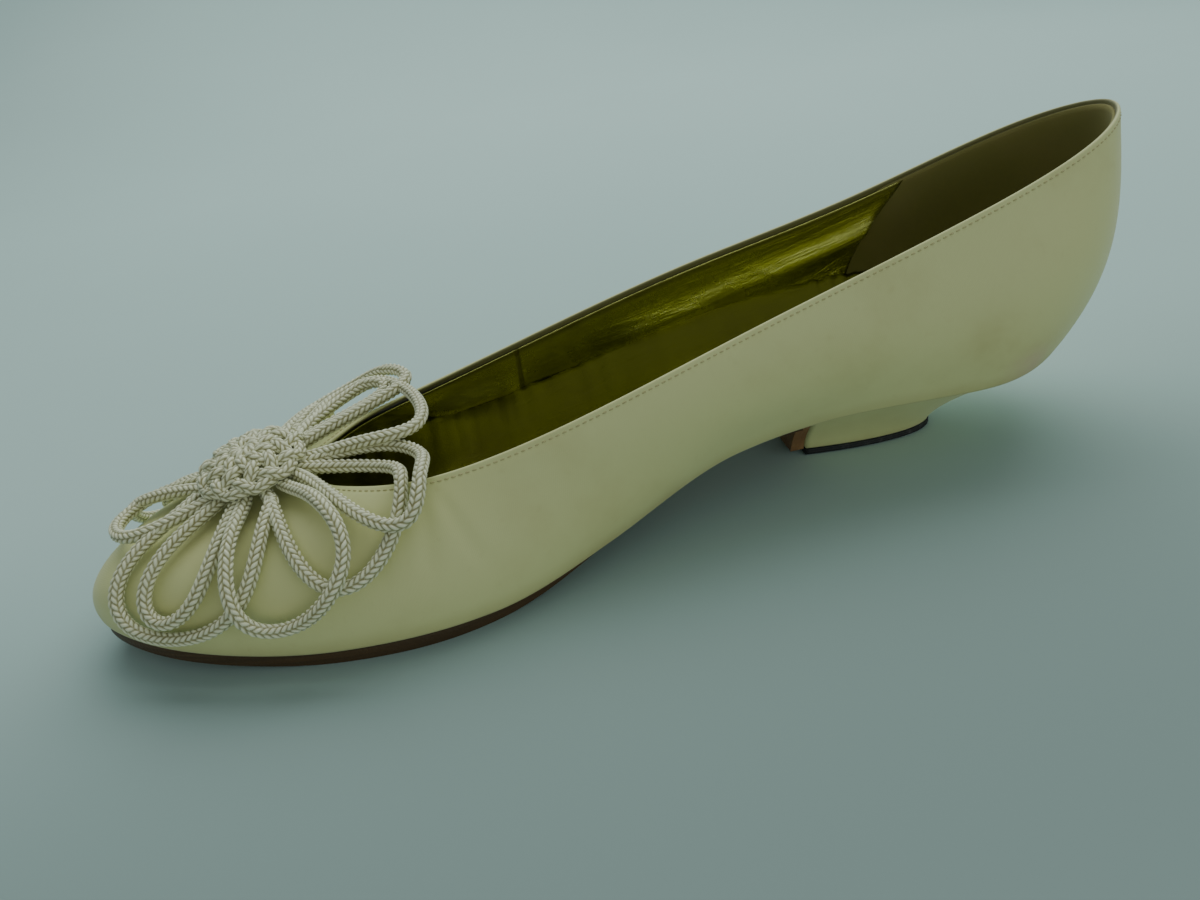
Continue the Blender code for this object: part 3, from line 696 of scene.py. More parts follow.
def satin_finish(colours, name, on_upper):
    """Ivory satin: a fine twill, a soft sheen, yellowed, soiled and rubbed places, and painted shade inside
    the topline's roll.
    """
    finish = Finish(name, Sheen_Weight=0.22, Sheen_Roughness=0.35, Specular_IOR_Level=0.4)
    at = finish.position()
    weave = finish.cloth() if on_upper else finish.stretched(at, 1 / MM, 1 / MM, 1 / MM)
    around, up, high = finish.parts(weave)
    up = up if on_upper else high
    twill = ((around + up * 0.8) * 13.0).sine()
    warp = (around * 29.0).sine()
    slub = finish.noise(finish.stretched(weave, 0.35, 5.0, 1.0), 1.0, 2.0)
    cloud = finish.noise(at, 38.0, 4.0, 0.6)
    fleck = finish.noise(at, 420.0, 2.0)
    soil = (cloud.within(0.45, 0.8) * 0.30) + (fleck.within(0.62, 0.8) * 0.10)
    soil = soil + (1 - up.within(0.0, 5.0)) * (0.22 + 0.35 * finish.noise(at, 90.0, 3.0))
    if on_upper:
        soil = soil + finish.spot(at, (-84, 22, 26), 17) * cloud.within(0.3, 0.7) * 0.55
        soil = soil + finish.spot(at, (-99, 17, 22), 22) * 0.25
        rubbed = finish.noise(at, 260.0, 3.0).within(0.35, 0.65)
        soil = soil + finish.spot(at, (-121, -5, 70), 8) * rubbed * 0.8
    base = finish.mixed(soil, colours.satin, colours.soil)
    if on_upper:
        pink = finish.spot(at, (-91, 19.5, 22.0), 9) * cloud.within(0.3, 0.6) * 0.45
        base = finish.mixed(pink, base, (0.66, 0.46, 0.36))
        # Painted shade: the inside of the rolled topline is darkened with the topline colour.
        base = finish.mixed(finish.relief().within(0.35, 0.8) * 0.9, base, colours.topline)
    rough = 0.46 + 0.10 * slub + 0.12 * soil
    height = 0.004 * twill + 0.003 * warp + 0.010 * slub + 0.03 * cloud
    return finish.wear(height, Base_Color=base, Roughness=rough)


def gold_finish(colours, name, is_sock):
    """Metallic leather: crinkles and grain in the foil, rubbed and darkened places.

    Painted shade darkens all the sock and the lining's top band; wear marks the sock under the ball, the
    lining at its seam.
    """
    finish = Finish(name, Specular_IOR_Level=0.5)
    at, cloth = finish.position(), finish.cloth()
    long_folds = finish.noise(finish.stretched(cloth, 0.05, 0.34, 1.0), 1.0, 5.0, 0.6, 0.6)
    crinkle = finish.noise(finish.stretched(cloth, 0.45, 1.1, 1.0), 1.0, 5.0, 0.62, 1.2)
    grain = finish.cells(cloth, 1.7)
    cloud = finish.noise(at, 42.0, 4.0, 0.6)
    wear_and_shade = cloud.within(0.48, 0.75) * 0.45 + (1 - grain.within(0.0, 0.10)) * 0.10
    fine = 0.015 * grain.within(0.0, 0.3)
    if is_sock:
        # The spot under the ball is wear; the even 0.30 over the whole sock is painted shade.
        wear_and_shade = wear_and_shade + finish.spot(at, (45, -8, 5), 34) * 0.15 + 0.30
        metal = 1 - 0.04 * wear_and_shade
        height = 0.16 * long_folds + 0.03 * crinkle + fine
    else:
        along, up = finish.parts(at)[0], finish.parts(cloth)[1]
        seam = 1 - abs(along / MM - LINING_SEAM).within(0.2, 0.9)
        # Painted shade: the lining's top band, a few mm under the topline, is darkened; the seam is a dark
        # joint.
        wear_and_shade = wear_and_shade + (1 - up.within(0.4, 3.2)) * 0.85 + seam * 0.7
        metal = 0.94 - 0.25 * wear_and_shade
        height = 0.45 * long_folds + 0.09 * crinkle + fine - 0.3 * seam
    # The sock's own colour is painted shade as well.
    base = finish.mixed(wear_and_shade, colours.sock if is_sock else colours.gold, colours.gold_wear_and_shade)
    rough = 0.20 + 0.12 * cloud + 0.18 * wear_and_shade
    return finish.wear(height, Base_Color=base, Roughness=rough, Metallic=metal)


def counter_finish(colours):
    """Brushed leather behind the heel: a short matt nap with lighter streaks and a rubbed band."""
    finish = Finish("counter_lining", Sheen_Weight=0.15, Specular_IOR_Level=0.3)
    at = finish.position()
    nap = finish.noise(finish.stretched(finish.cloth(), 1.5, 6.0, 1.0), 1.0, 4.0, 0.7)
    cloud = finish.noise(at, 55.0, 4.0)
    _, up, _ = finish.parts(finish.cloth())
    light = cloud.within(0.4, 0.75) * 0.5 + nap.within(0.5, 0.8) * 0.25 + (1 - up.within(0.5, 4.0)) * 0.2
    base = finish.mixed(light, colours.counter, (0.32, 0.27, 0.10))
    return finish.wear(0.05 * nap + 0.05 * cloud, Base_Color=base, Roughness=0.72 + 0.2 * nap)


def leather_finish(colours):
    """Sole leather: a dark stained edge, a brown underside scuffed along the tread."""
    finish = Finish("sole_leather", Specular_IOR_Level=0.45)
    at = finish.position()
    grain = finish.cells(at, 900.0)
    cloud = finish.noise(at, 60.0, 5.0, 0.65)
    scuff = finish.noise(finish.stretched(at, 60.0, 900.0, 200.0), 1.0, 4.0, 0.7)
    layers = finish.noise(finish.stretched(at, 30.0, 30.0, 1500.0), 1.0, 3.0)
    tread = finish.spot(at, (53, 0, 0), 42) * scuff.within(0.45, 0.7)
    brown = finish.mixed(cloud.within(0.35, 0.7), colours.leather, (0.22, 0.11, 0.045))
    brown = finish.mixed(tread * 0.7, brown, (0.36, 0.24, 0.13))
    stain = finish.mixed(layers.within(0.35, 0.7) * 0.5, colours.edge, (0.12, 0.066, 0.025))
    base = finish.mixed(finish.relief().within(0.02, 0.09), stain, brown)
    rough = 0.42 + 0.25 * cloud + 0.15 * tread
    height = 0.05 * grain.within(0.0, 0.3) + 0.06 * scuff + 0.05 * layers
    return finish.wear(height, Base_Color=base, Roughness=rough)


def rubber_finish(colours):
    """Hard rubber of the top piece: moulded grain, grey scuffs on the underside and the edge."""
    finish = Finish("lift_rubber", Specular_IOR_Level=0.4)
    at = finish.position()
    grain = finish.noise(at, 1600.0, 3.0)
    scuff = finish.noise(finish.stretched(at, 500.0, 90.0, 160.0), 1.0, 4.0, 0.7)
    base = finish.mixed(scuff.within(0.5, 0.75) * 0.6, colours.rubber, (0.10, 0.10, 0.10))
    return finish.wear(0.03 * grain + 0.04 * scuff, Base_Color=base, Roughness=0.55 + 0.25 * scuff)


def cord_finish(colours):
    """Braided cord: fine fibres along each strand, darker and warmer in the grooves."""
    finish = Finish("braided_cord", Sheen_Weight=0.2, Sheen_Roughness=0.4, Specular_IOR_Level=0.75)
    fibre = finish.noise(finish.stretched(finish.cloth(), 1.2, 14.0, 1.0), 1.0, 3.0, 0.7)
    cloud = finish.noise(finish.position(), 70.0, 3.0)
    depth = 1 - finish.relief().within(0.2, 0.85)
    base = finish.mixed(depth * 0.92 + cloud.within(0.5, 0.8) * 0.12, colours.cord, colours.cord_shade)
    return finish.wear(0.05 * fibre, Base_Color=base, Roughness=0.28 + 0.2 * fibre)


def thread_finish(colours):
    """Sewing thread: two plies turned about each other."""
    finish = Finish("topline_thread", Sheen_Weight=0.2)
    around, along, _ = finish.parts(finish.cloth())
    ply = abs(((along * 2.0 + around) * 6.0).sine())
    base = finish.mixed(ply * 0.5, colours.thread, colours.satin)
    return finish.wear(0.02 * ply, Base_Color=base, Roughness=0.6 + 0.1 * ply)


def floor_finish(colours):
    """Plain pale floor with a very faint unevenness, and painted shade that darkens it towards the front."""
    finish = Finish("floor", Specular_IOR_Level=0.15)
    at = finish.position()
    cloud = finish.noise(at, 6.0, 4.0)
    _, inner, _ = finish.parts(at)
    pale = tuple(min(1.0, c * 1.06) for c in colours.floor)
    falloff_shade = tuple(c * 0.60 for c in colours.floor)
    base = finish.mixed(cloud, colours.floor, pale)
    # Painted shade: the floor darkens towards the camera, standing in for the light's falloff.
    base = finish.mixed(inner.within(-0.06, 0.12), base, falloff_shade)
    return finish.wear(None, Base_Color=base, Roughness=0.75 + 0.1 * cloud)


# Pieces

def up_the_rows(points):
    """Distance in millimetres up each column of a grid of points, from its first row."""
    steps = np.linalg.norm(np.diff(points, axis=0), axis=-1) / MM
    return np.concatenate([np.zeros((1,) + steps.shape[1:]), np.cumsum(steps, 0)])


def satin_relief(last, place, share):
    """How far the satin stands off its block, in metres.

    Long soft waves, and shallow creases where the foot bends. A crease is a bell curve across its line with a
    low ridge on each side.
    """
    turn = 2 * np.pi * place / last.period
    waves = np.sin(5 * turn + 4 * share + 1.0) * np.sin(3 * turn - 5 * share)
    waves = waves + 0.6 * np.sin(11 * turn - 3 * share + 2.0) * np.sin(7 * share + 0.5)
    lift = 0.10 * waves
    fade = ease(share, 0.25, 0.5) * (1 - ease(share, 0.75, 0.95))
    for crease in CREASES:
        line = last.place_at(crease.x * MM, crease.inner) + crease.lean * MM * (share - 0.5)
        across = (place - line) / CREASE_WIDTH
        lift = lift - crease.depth * (1 - across**2) * np.exp(-(across**2) / 1.5) * fade
    return lift * ease(share, 0.0, 0.12) * (1 - ease(share, 0.9, 1.0)) * MM


def satin_upper(last, finish):
    """The satin: up the wall's outer face, over a rolled topline, down inside, and under as a lasting margin.

    The stitches pull a groove into it, a bell curve across their row. reach and lift give the margin's
    way in under the insole and back.
    """
    columns, face_rows, roll_rows, back_rows = 640, 76, 9, 10
    groove_depth, groove_spread = 0.10 * MM, 0.30
    sizes = last.sizes
    roll = sizes.satin / 2
    place = np.arange(columns) / columns * last.period
    top_share = last.below_top(place, roll)
    share = np.linspace(0, 1, face_rows)[:, None] * top_share
    face, normal, _ = last.skin(np.broadcast_to(place, share.shape), share)
    off_row = (1 - share) / (1 - last.below_top(place, STITCH_DROP)) - 1
    groove = np.exp(-((off_row / groove_spread) ** 2)) * groove_depth
    face = face + normal * (satin_relief(last, place, share) - groove)[..., None]
    edge, edge_out, edge_up = last.skin(place, np.ones(columns))
    turn = np.linspace(0, np.pi, roll_rows)[1:-1, None, None]
    over = edge - (edge_out + edge_up) * roll + roll * (np.cos(turn) * edge_out + np.sin(turn) * edge_up)
    down = np.linspace(1, 0.08, back_rows)[:, None] * top_share
    back, back_out, _ = last.skin(np.broadcast_to(place, down.shape), down)
    back = back - back_out * sizes.satin
    reach = np.array([1.0, 3.0, 5.0, 5.2, 5.0, 3.0, 0.7])[:, None, None] * MM
    lift = np.array([0.9, 0.9, 0.9, 0.5, 0.1, 0.1, 0.15])[:, None] * sizes.gap
    plan = last.foot(place) - last.outward(place) * reach
    under = np.concatenate([plan, (last.bed(plan[..., 0]) + lift)[..., None]], -1)
    points = np.concatenate([face, over, back, under])
    rows = len(points)
    outside, inside = np.zeros(len(face)), np.ones(len(back))
    # inward is 0 on the outer face and 1 inside; it also masks the painted shade inside the roll.
    inward = np.concatenate([outside, np.linspace(0, 1, len(over)), inside, np.zeros(len(under))])
    inward = np.broadcast_to(inward[:, None], points.shape[:2])
    ring = np.concatenate([points, points[:1]])
    v = up_the_rows(np.concatenate([ring, ring[:, :1]], 1))
    u = np.linspace(0, last.period, columns + 1) / MM
    faces = grid_faces(rows, columns, close_rows=True, close_across=True)
    add_piece("satin_upper", points, faces, finish, "upper", grid_corners(u, v), inward)


def lining_shell(last, name, span, slant, depths, folds, pad, finish, columns, rows):
    """A lining on the inside of the wall, skived to nothing at its two ends.

    span: its two ends as places round the shoe. slant: how far an end leans back up the wall.
    depths: of its back and of its front below the satin's face. folds: height of its modelled wrinkles.
    pad: how far it swells out, a bell curve down the wall, beside the heel and beside the vamp's seam.
    """
    below_topline, skived = 0.9 * MM, 2.5 * MM
    pad_middle, pad_spread = 13.5, 4.5
    c = np.linspace(0, 1, columns)
    level = np.linspace(1, 0.045, rows)[:, None]
    lean = slant * (level - 0.5)
    place = (span[0] + lean) * (1 - c) + (span[1] - lean) * c
    share = level * last.below_top(place[0], below_topline)
    face, normal, _ = last.skin(place, share)
    from_end = np.minimum(c, 1 - c) * abs(span[1] - span[0])
    full = ease(from_end, 0, skived)
    back_depth, front_depth = depths
    at_end = (back_depth + front_depth) / 2
    edge_round = 1 - 0.35 * (1 - ease((1 - level) * 40, 0, 1))
    u, v = place / MM, share * 45
    waves = np.sin(u * 0.21 + 2.2 * np.sin(v * 0.13)) * np.sin(v * 0.31 + 0.9 * np.sin(u * 0.07))
    creases = (1 - np.abs(np.sin(u * 0.11 + v * 0.16 + 1.7 * np.sin(u * 0.045)))) ** 6
    free = ease(level, 0.02, 0.2) * (1 - ease(level, 0.8, 0.97))
    wrinkle = folds * (0.6 * waves + 0.9 * creases) * free
    x = face[..., 0]
    padded = 1 - ease(x, -14 * MM, 2 * MM) + ease(x, 17 * MM, 24 * MM) - ease(x, 36 * MM, 52 * MM)
    swell = pad * np.exp(-(((up_the_rows(face) - pad_middle) / pad_spread) ** 2)) * padded
    front = at_end + (front_depth - at_end) * full * edge_round + (wrinkle + swell) * full
    behind = at_end + (back_depth - at_end) * full
    front_face = face - normal * np.broadcast_to(front, share.shape)[..., None]
    back_face = face - normal * np.broadcast_to(behind, share.shape)[..., None]
    points = np.concatenate([front_face, back_face[::-1]])
    ring = np.concatenate([points, points[:1]])
    corners = grid_corners(np.broadcast_to(place[0] / MM, ring.shape[:2]), up_the_rows(ring))
    faces = grid_faces(len(points), columns, close_rows=True)
    add_piece(name, points, faces, finish, uv=corners)


def linings(last, gold, brushed):
    """Gold leather round the vamp and the quarters, and brushed leather behind the heel that it laps over."""
    lap, slant = 5 * MM, 20 * MM
    wall, satin = last.sizes.wall, last.sizes.satin
    ends = last.place_at(LINING_END, True), last.place_at(LINING_END, False)
    depths = 0.86 * wall, wall
    lining_shell(last, "vamp_lining", ends, -slant, depths, 0.16 * MM, 2.7 * MM, gold, 480, 64)
    ends = ends[1] - lap, ends[0] + last.period + lap
    depths = 1.02 * satin, 0.84 * wall
    lining_shell(last, "counter_lining", ends, slant, depths, 0.05 * MM, 0.0, brushed, 200, 44)


def sock(last, finish):
    """Gold sock on the insole: hollowed across, its edge standing against the lining with puckers.

    Its edge runs on the lining's face at the height of the hollow's rim. Across, the height rises with the
    third power of the distance from the middle, and round the back the same rule holds from back to front.
    """
    rows, columns = 300, 73
    off_lining, back_bowl, half_width, thickness = 0.25 * MM, 22 * MM, 35, 0.7 * MM
    sizes = last.sizes
    place = np.linspace(0, last.period, 900, endpoint=False)
    share = np.linspace(0.0, 0.75, 70)[:, None]
    face, normal, _ = last.skin(*np.broadcast_arrays(place, share))
    inner = face - normal * (sizes.wall + off_lining)
    base = last.bed(inner[..., 0]) + sizes.gap + sizes.insole
    x = inner[..., 0]
    cup = sizes.cup * (0.55 + 0.45 * ease(x, last.along(6), last.along(22)))
    cup = cup * (1 - ease(x, last.along(66), last.along(88)))
    over = inner[..., 2] - base - cup
    reached = np.argmax(over > 0, axis=0)
    column = np.arange(len(place))
    before, after = over[reached - 1, column], over[reached, column]
    t = (before / (before - after))[:, None]
    rim = inner[reached - 1, column] * (1 - t) + inner[reached, column] * t
    sides = last.split(rim)
    back_x, toe_x = sides[0][0, 0], sides[0][-1, 0]
    x = (back_x + toe_x) / 2 - (toe_x - back_x) / 2 * np.cos(np.linspace(0, np.pi, rows))
    (y_in, z_in), (y_out, z_out) = ([np.interp(x, side[:, 0], side[:, i]) for i in (1, 2)] for side in sides)
    across = np.linspace(-1, 1, columns)
    side = (across + 1) / 2
    y = y_in[:, None] * (1 - side) + y_out[:, None] * side
    rim_z = z_in[:, None] * (1 - side) + z_out[:, None] * side
    to_back = np.clip(1 - (x - back_x) / back_bowl, 0, 1)[:, None]
    edge = np.sqrt(to_back**2 + across**2 * (1 - to_back**2))
    floor_z = (last.bed(x) + sizes.gap + sizes.insole)[:, None]
    z = floor_z + (rim_z - floor_z) * edge**3
    outer = ease(across, 0.55, 0.97)
    inner_side = ease(-across, 0.55, 0.97)
    x_mm = x[:, None] / MM
    pucker = 0.16 * np.sin(x_mm * 0.9 + 1.3 * np.sin(x_mm * 0.31)) * (outer + 0.35 * inner_side)
    lifted = sum(row.height * np.exp(-(((x_mm - row.x) / row.spread) ** 2)) for row in LOOSE_EDGE)
    pucker = pucker + lifted * outer * (0.6 + 0.4 * np.sin(x_mm * 1.6))
    waves = 0.18 * np.sin(x_mm * 0.12 + 2 * across) * np.sin(x_mm * 0.05 - 3 * across + 1)
    z = z + (pucker + waves * (1 - edge**4)) * MM
    points = np.stack([np.broadcast_to(x[:, None], y.shape), y, z], -1)
    u = up_the_rows(points)
    uv = grid_corners(u, np.broadcast_to(across * half_width, u.shape))
    piece = add_piece("sock", points, [grid_faces(rows, columns)], finish, "insole", uv)
    thicken(piece, thickness, False)


def thicken(piece, thickness, even):
    """Turns an open surface into a shell that grows behind its faces, of even thickness where asked."""
    shell = piece.modifiers.new("thickness", "SOLIDIFY")
    shell.thickness = thickness
    shell.offset = -1
    shell.use_even_offset = even


def round_edges(piece, width):
    """Rounds the corners of a shell."""
    bevel = piece.modifiers.new("rounding", "BEVEL")
    bevel.width = width
    bevel.segments = 2
    bevel.limit_method = "ANGLE"
    bevel.angle_limit = np.radians(50)


def sole(last, finish):
    """Leather sole: a sheet from the foot of the heel breast, up it, round a bend and forward to the toe.

    Its relief value is 0 at the stained edge and 1 on the flap and away from the edge.
    """
    columns, bend, stained = 41, 4 * MM, 20 * MM
    sizes = last.sizes
    edges = last.sole_edges()
    face_x = last.breast_x + sizes.gap
    toe_x = edges[0][-1, 0]
    x = face_x + bend + (toe_x - face_x - bend) * np.sin(np.linspace(0, np.pi / 2, 170))
    across = np.linspace(0, 1, columns)
    inner, outer = (np.interp(x, edge[:, 0], edge[:, 1]) for edge in edges)
    side = inner[:, None] * (1 - across) + outer[:, None] * across
    bed = np.stack(np.broadcast_arrays(x[:, None], side, last.bed(x)[:, None]), -1)
    bed_z = last.bed(np.array(face_x + bend))
    turn = np.linspace(0, np.pi / 2, 10)[:-1]
    flap_z = np.linspace(sizes.lift + sizes.gap, bed_z - bend, 9)[:-1]
    flap_z = np.concatenate([flap_z, bed_z - bend * (1 - np.sin(turn))])
    flap_x = face_x + np.concatenate([np.zeros(8), bend * (1 - np.cos(turn))])
    seat_z = last.bed(np.array(last.breast_x))
    down = np.clip((seat_z - flap_z) / (seat_z - sizes.lift - sizes.gap), 0, 1)
    rings = last.heel_rings(down, columns)
    flap_in, flap_out = rings[:, 0, 1] - sizes.gap, rings[:, -1, 1] + sizes.gap
    flap_side = flap_in[:, None] * (1 - across) + flap_out[:, None] * across
    flap = np.stack(np.broadcast_arrays(flap_x[:, None], flap_side, flap_z[:, None]), -1)
    points = np.concatenate([flap, bed])
    width = (points[:, 0, 1] - points[:, -1, 1])[:, None]
    from_edge = np.minimum(np.minimum(across, 1 - across) * width, toe_x - points[..., 0])
    relief = np.clip(from_edge / stained, 0, 1)
    relief[: len(flap)] = 1
    faces = [grid_faces(len(points), columns)]
    piece = add_piece("sole", points, faces, finish, "outsole", relief=relief)
    thicken(piece, sizes.sole, True)
    round_edges(piece, 0.35 * MM)


def heel_cover(last, finish):
    """Satin-covered heel: rings from the seat to the top piece, drawn in at both edges, closed by strips."""
    count, rings = 161, 40
    pull, edge = 0.012, 0.05
    share = np.linspace(0, 1, rings)
    points = last.heel_rings(share, count)
    middle = points.mean(1, keepdims=True)
    draw_in = pull * (np.exp(-((share / edge) ** 2)) + np.exp(-(((1 - share) / edge) ** 2)))[:, None]
    points[..., :2] -= (points - middle)[..., :2] * draw_in[..., None]
    sides = grid_faces(rings, count, close_across=True)
    faces = [sides[:, ::-1]] + cap_faces(0, count, False) + cap_faces((rings - 1) * count, count, True)
    add_piece("heel_cover", points, faces, finish, "heel_block")


def top_piece(last, finish):
    """Top piece under the heel: a half oval slab with rounded corners and a parting groove round it."""
    count = 161
    lift = last.sizes.lift
    outline = last.lift_outline(count)
    middle = outline.mean(0)
    height = np.array([0.0, 0.04, 0.16, 0.40, 0.58, 0.62, 0.66, 0.80, 0.96, 1.0]) * lift
    draw_in = np.array([0.9, 0.3, 0.0, 0.0, 0.0, 0.25, 0.0, 0.0, 0.1, 0.4]) * MM
    out = unit(outline - middle)
    plan = outline - out * draw_in[:, None, None]
    points = np.concatenate([plan, np.broadcast_to(height[:, None, None], plan.shape[:2] + (1,))], -1)
    sides = grid_faces(len(height), count, close_across=True)
    faces = [sides] + cap_faces(0, count, True) + cap_faces((len(height) - 1) * count, count, False)
    add_piece("top_piece", points, faces, finish, "heel_lift")


def braid(path, normals, cord, pitch):
    """A braided cord carried along a path.

    Round the cord lie six columns of slanted strands, and neighbouring columns slant opposite ways, so that
    they meet in chevrons. A strand's ridge is a rounded cosine of the phase, which runs with the distance
    along the cord and across the column. Returns points, UV of the corners and the ridges' height.
    """
    around, columns, slant = 36, 6, 0.9
    core, ridges, spread = 0.70, 0.25, 0.07
    tangent = unit(np.gradient(path, axis=0))
    side = unit(np.cross(normals, tangent))
    up = np.cross(tangent, side)
    run = run_along(path)
    turn = np.linspace(0, 2 * np.pi, around, endpoint=False)
    column = turn / (2 * np.pi) * columns
    odd = np.floor(column) % 2
    across = column - np.floor(column)
    offset = slant * np.where(odd == 1, 1 - across, across) + 0.5 * odd
    strand = run[:, None] / pitch + offset
    uneven = 0.5 + 0.5 * np.sin(12.9 * np.floor(strand) + 4.1 * np.floor(column))
    ridge = np.abs(np.cos(np.pi * strand)) ** 0.7
    crown = np.sqrt(1 - (0.93 * (2 * across - 1)) ** 2)
    relief = ridge * crown
    radius = cord / 2 * (core + (ridges + spread * uneven) * relief)
    ends = np.sqrt(np.clip(np.minimum(run, run[-1] - run) / (cord / 2), 0, 1))
    radius = radius * ends[:, None]
    spoke = np.cos(turn)[:, None] * up[:, None] * 0.95 + np.sin(turn)[:, None] * side[:, None]
    points = path[:, None] + radius[..., None] * spoke
    u = np.broadcast_to(run[:, None] / MM, (len(run), around + 1))
    v = np.broadcast_to(np.linspace(0, np.pi * cord / MM, around + 1), u.shape)
    return points, grid_corners(u, v), relief


def add_cord(name, path, normals, thickness, pitch, finish):
    """One braided cord as a piece that stands for its share of the flower."""
    points, uv, relief = braid(path, normals, thickness, pitch)
    faces = grid_faces(len(path), points.shape[1], close_across=True)
    add_piece(name, points, faces, finish, "cord_flower", uv, relief)


def knot_path(last, spacing):
    """Middle line, with normals, of the cord that is plaited into a low mound in the flower's middle.

    The cord goes round five times while its radius swings in and out eleven times, so that it keeps crossing
    itself. On its way in it goes over, under, over its crossings, and on its way out the other way about.
    """
    flower = last.flower
    rounds, swings, weave_height = 5, 11, 0.75 * MM
    turn = np.linspace(0, 2 * np.pi * rounds, 2400)
    phase = turn * swings / rounds
    outer, inner = flower.knot_radius - 0.45 * flower.cord, 0.4 * flower.cord
    radius = (outer + inner) / 2 + (outer - inner) / 2 * np.cos(phase)
    base, normal = last.on_vamp(turn, radius)
    dome = 1 - 0.40 * (radius / flower.knot_radius) ** 3
    weave = np.sign(np.sin(phase)) * np.cos(rounds * phase) * ease(np.abs(np.sin(phase)), 0, 0.55)
    height = flower.knot_height * dome - flower.cord / 2 + weave_height * weave
    line = smoothed(base + normal * height[:, None], 8)
    count = int(run_along(line)[-1] / spacing)
    return evenly(line, count), unit(evenly(line, count, normal))


def cord_flower(last, finish):
    """The flower: its loops of braided cord and the plaited mound in its middle."""
    spacing = last.flower.pitch / 6.5
    bases = {name: last.loop_base(loop, 120) for name, loop in LOOPS.items()}
    for name in LOOPS:
        path, normals = last.loop_path(name, bases, spacing)
        add_cord("loop_" + name, path, normals, last.flower.cord, last.flower.pitch, finish)
    path, normals = knot_path(last, spacing)
    add_cord("knot_coil", path, normals, 0.9 * last.flower.cord, last.flower.pitch, finish)


def topline_stitches(last, finish):
    """A row of stitches just below the topline: each is a short tube whose ends dip into the satin."""
    sizes = last.sizes
    half_length, thread = 0.36 * sizes.stitch, 0.17 * MM
    place = np.linspace(0, last.period, 4000)
    line, normal, _ = last.skin(place, last.below_top(place, STITCH_DROP))
    count = int(run_along(line)[-1] / sizes.stitch)
    middle = evenly(line, count + 1)[:-1]
    out = unit(evenly(line, count + 1, normal)[:-1])
    along = unit(np.roll(middle, -1, 0) - np.roll(middle, 1, 0))
    side = np.cross(out, along)
    t = np.array([-1.0, -0.9, -0.5, 0.5, 0.9, 1.0])
    thick = np.array([0.0, 0.7, 1.0, 1.0, 0.7, 0.0]) * thread
    dip = -0.05 * MM - 0.16 * MM * t**4
    turn = np.linspace(0, 2 * np.pi, 8, endpoint=False)
    centre = middle[:, None] + along[:, None] * (t * half_length)[:, None] + out[:, None] * dip[:, None]
    spoke = np.cos(turn)[:, None] * out[:, None] + np.sin(turn)[:, None] * side[:, None]
    points = centre[:, :, None] + thick[:, None, None] * spoke[:, None]
    one = grid_faces(len(t), len(turn), close_across=True)
    faces = (one + np.arange(count)[:, None, None] * len(t) * len(turn)).reshape(-1, 4)
    corner = grid_corners(np.linspace(0, 1, len(turn) + 1), (t * 0.5)[:, None])
    add_piece("topline_stitches", points, faces, finish, uv=np.tile(corner, (count, 1, 1)))


# Stage

def add_light(name, row, power):
    """A large soft light that looks at its target."""
    light = bpy.data.lights.new(name, "AREA")
    light.shape = "RECTANGLE"
    light.size, light.size_y = row.size
    light.energy = power
    light.color = row.tint
    lamp = bpy.data.objects.new(name, light)
    lamp.location = row.place
    lamp.rotation_euler = (Vector(row.target) - Vector(row.place)).to_track_quat("-Z", "Y").to_euler()
    bpy.context.scene.collection.objects.link(lamp)


def add_camera(stage):
    """Camera at the photograph's viewing angle, turned about its own axis by the roll."""
    azimuth, elevation, roll = stage.azimuth, stage.elevation, stage.roll
    level = np.cos(elevation)
    back = np.array([np.sin(azimuth) * level, np.cos(azimuth) * level, np.sin(elevation)])
    right = unit(np.cross(-back, [0, 0, 1]))
    up = np.cross(right, -back)
    across = np.cos(roll) * right + np.sin(roll) * up
    upright = np.cos(roll) * up - np.sin(roll) * right
    place = np.array(stage.target) + back * stage.distance
    data = bpy.data.cameras.new("camera")
    data.sensor_width = SENSOR
    data.sensor_fit = "HORIZONTAL"
    data.lens = stage.lens
    data.clip_start = 10 * MM
    camera = bpy.data.objects.new("camera", data)
    turned = np.eye(4)
    turned[:3] = np.column_stack([across, upright, back, place])
    camera.matrix_world = Matrix(turned.tolist())
    bpy.context.scene.collection.objects.link(camera)
    bpy.context.scene.camera = camera


def add_floor(finish):
    """Plain floor: a grid just under the shoe that sweeps up behind it with the distance squared."""
    reach, level, steepness, count = 4.0, 0.55, 0.6, 161
    below = 0.05 * MM
    line = np.linspace(-reach, reach, count)
    x, y = np.meshgrid(line, line, indexing="ij")
    behind = np.clip(-y - level, 0, None)
    points = np.stack([x, y, steepness * behind**2 - below], -1).reshape(-1, 3)
    mesh = bpy.data.meshes.new("floor")
    mesh.from_pydata(points.tolist(), [], grid_faces(count, count).tolist())
    mesh.flip_normals()
    mesh.shade_smooth()
    mesh.materials.append(finish)
    floor = bpy.data.objects.new("floor", mesh)
    bpy.context.scene.collection.objects.link(floor)


def add_sky(strength, tint):
    """Even light from all sides."""
    world = bpy.data.worlds.new("sky")
    world.use_nodes = True
    background = world.node_tree.nodes["Background"]
    background.inputs["Color"].default_value = (*tint, 1.0)
    background.inputs["Strength"].default_value = strength
    bpy.context.scene.world = world


# Operators

class ShoePiece:
    """Makes a piece from the shoe's shape and colours at the present settings."""

    def execute(self, context):
        scene = context.scene
        self.make(Last(scene.shoe_sizes, scene.shoe_flower), scene.shoe_colours)
        return {"FINISHED"}


class SHOE_OT_satin_upper(ShoePiece, bpy.types.Operator):
    """Satin upper with its rolled topline"""

    bl_idname = "shoe.satin_upper"
    bl_label = "Satin Upper"

    def make(self, last, colours):
        satin_upper(last, satin_finish(colours, "satin", True))


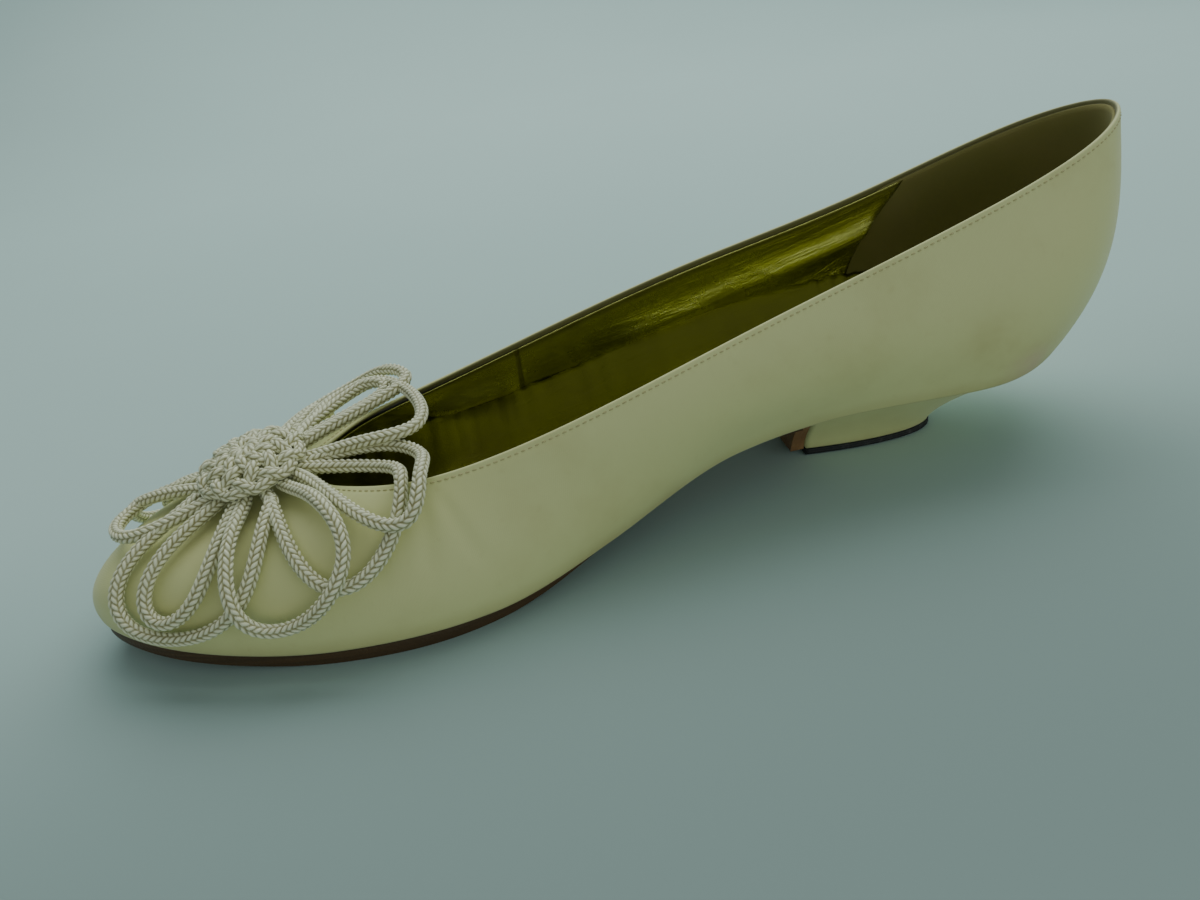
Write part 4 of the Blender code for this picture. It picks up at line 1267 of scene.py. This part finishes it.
class SHOE_OT_linings(ShoePiece, bpy.types.Operator):
    """Gold lining and brushed counter lining"""

    bl_idname = "shoe.linings"
    bl_label = "Linings"

    def make(self, last, colours):
        linings(last, gold_finish(colours, "gold_lining", False), counter_finish(colours))


class SHOE_OT_sock(ShoePiece, bpy.types.Operator):
    """Gold sock on the insole"""

    bl_idname = "shoe.sock"
    bl_label = "Sock"

    def make(self, last, colours):
        sock(last, gold_finish(colours, "gold_sock", True))


class SHOE_OT_sole(ShoePiece, bpy.types.Operator):
    """Leather sole with its flap on the heel breast"""

    bl_idname = "shoe.sole"
    bl_label = "Sole"

    def make(self, last, colours):
        sole(last, leather_finish(colours))


class SHOE_OT_heel(ShoePiece, bpy.types.Operator):
    """Covered heel and its top piece"""

    bl_idname = "shoe.heel"
    bl_label = "Heel"

    def make(self, last, colours):
        heel_cover(last, satin_finish(colours, "heel_cover", False))
        top_piece(last, rubber_finish(colours))


class SHOE_OT_cord_flower(ShoePiece, bpy.types.Operator):
    """Flower of braided cord on the vamp"""

    bl_idname = "shoe.cord_flower"
    bl_label = "Cord Flower"

    def make(self, last, colours):
        cord_flower(last, cord_finish(colours))


class SHOE_OT_topline_stitches(ShoePiece, bpy.types.Operator):
    """Stitches along the topline"""

    bl_idname = "shoe.topline_stitches"
    bl_label = "Topline Stitches"

    def make(self, last, colours):
        topline_stitches(last, thread_finish(colours))


class SHOE_OT_stage(bpy.types.Operator):
    """Floor, lights and camera"""

    bl_idname = "shoe.stage"
    bl_label = "Stage"

    def execute(self, context):
        stage = context.scene.shoe_stage
        add_floor(floor_finish(context.scene.shoe_colours))
        for name, row in LIGHTS.items():
            add_light(name, row, getattr(stage, name))
        add_sky(stage.sky, SKY_TINT)
        add_camera(stage)
        return {"FINISHED"}


OPERATORS = (
    SHOE_OT_stage,
    SHOE_OT_satin_upper,
    SHOE_OT_linings,
    SHOE_OT_sock,
    SHOE_OT_sole,
    SHOE_OT_heel,
    SHOE_OT_cord_flower,
    SHOE_OT_topline_stitches,
)


class SHOE_PT_sidebar(bpy.types.Panel):
    """Lists the shoe's operators and settings"""

    bl_idname = "SHOE_PT_sidebar"
    bl_label = "Court Shoe"
    bl_space_type = "VIEW_3D"
    bl_region_type = "UI"
    bl_category = "Court Shoe"

    def draw(self, context):
        for operator in OPERATORS:
            self.layout.operator(operator.bl_idname)
        for name in SETTINGS:
            group = getattr(context.scene, name)
            box = self.layout.box()
            for setting in group.__annotations__:
                box.prop(group, setting)


SETTINGS = {
    "shoe_sizes": ShoeSizes,
    "shoe_flower": FlowerSizes,
    "shoe_colours": ShoeColours,
    "shoe_stage": StageSettings,
}
CLASSES = (*SETTINGS.values(), *OPERATORS, SHOE_PT_sidebar)


def register():
    for made in CLASSES:
        bpy.utils.register_class(made)
    for name, group in SETTINGS.items():
        setattr(bpy.types.Scene, name, PointerProperty(type=group))


def unregister():
    for name in SETTINGS:
        delattr(bpy.types.Scene, name)
    for made in reversed(CLASSES):
        bpy.utils.unregister_class(made)


def main():
    """Makes the shoe and its stage."""
    register()
    for operator in OPERATORS:
        group, name = operator.bl_idname.split(".")
        getattr(getattr(bpy.ops, group), name)()


if __name__ == "__main__":
    main()
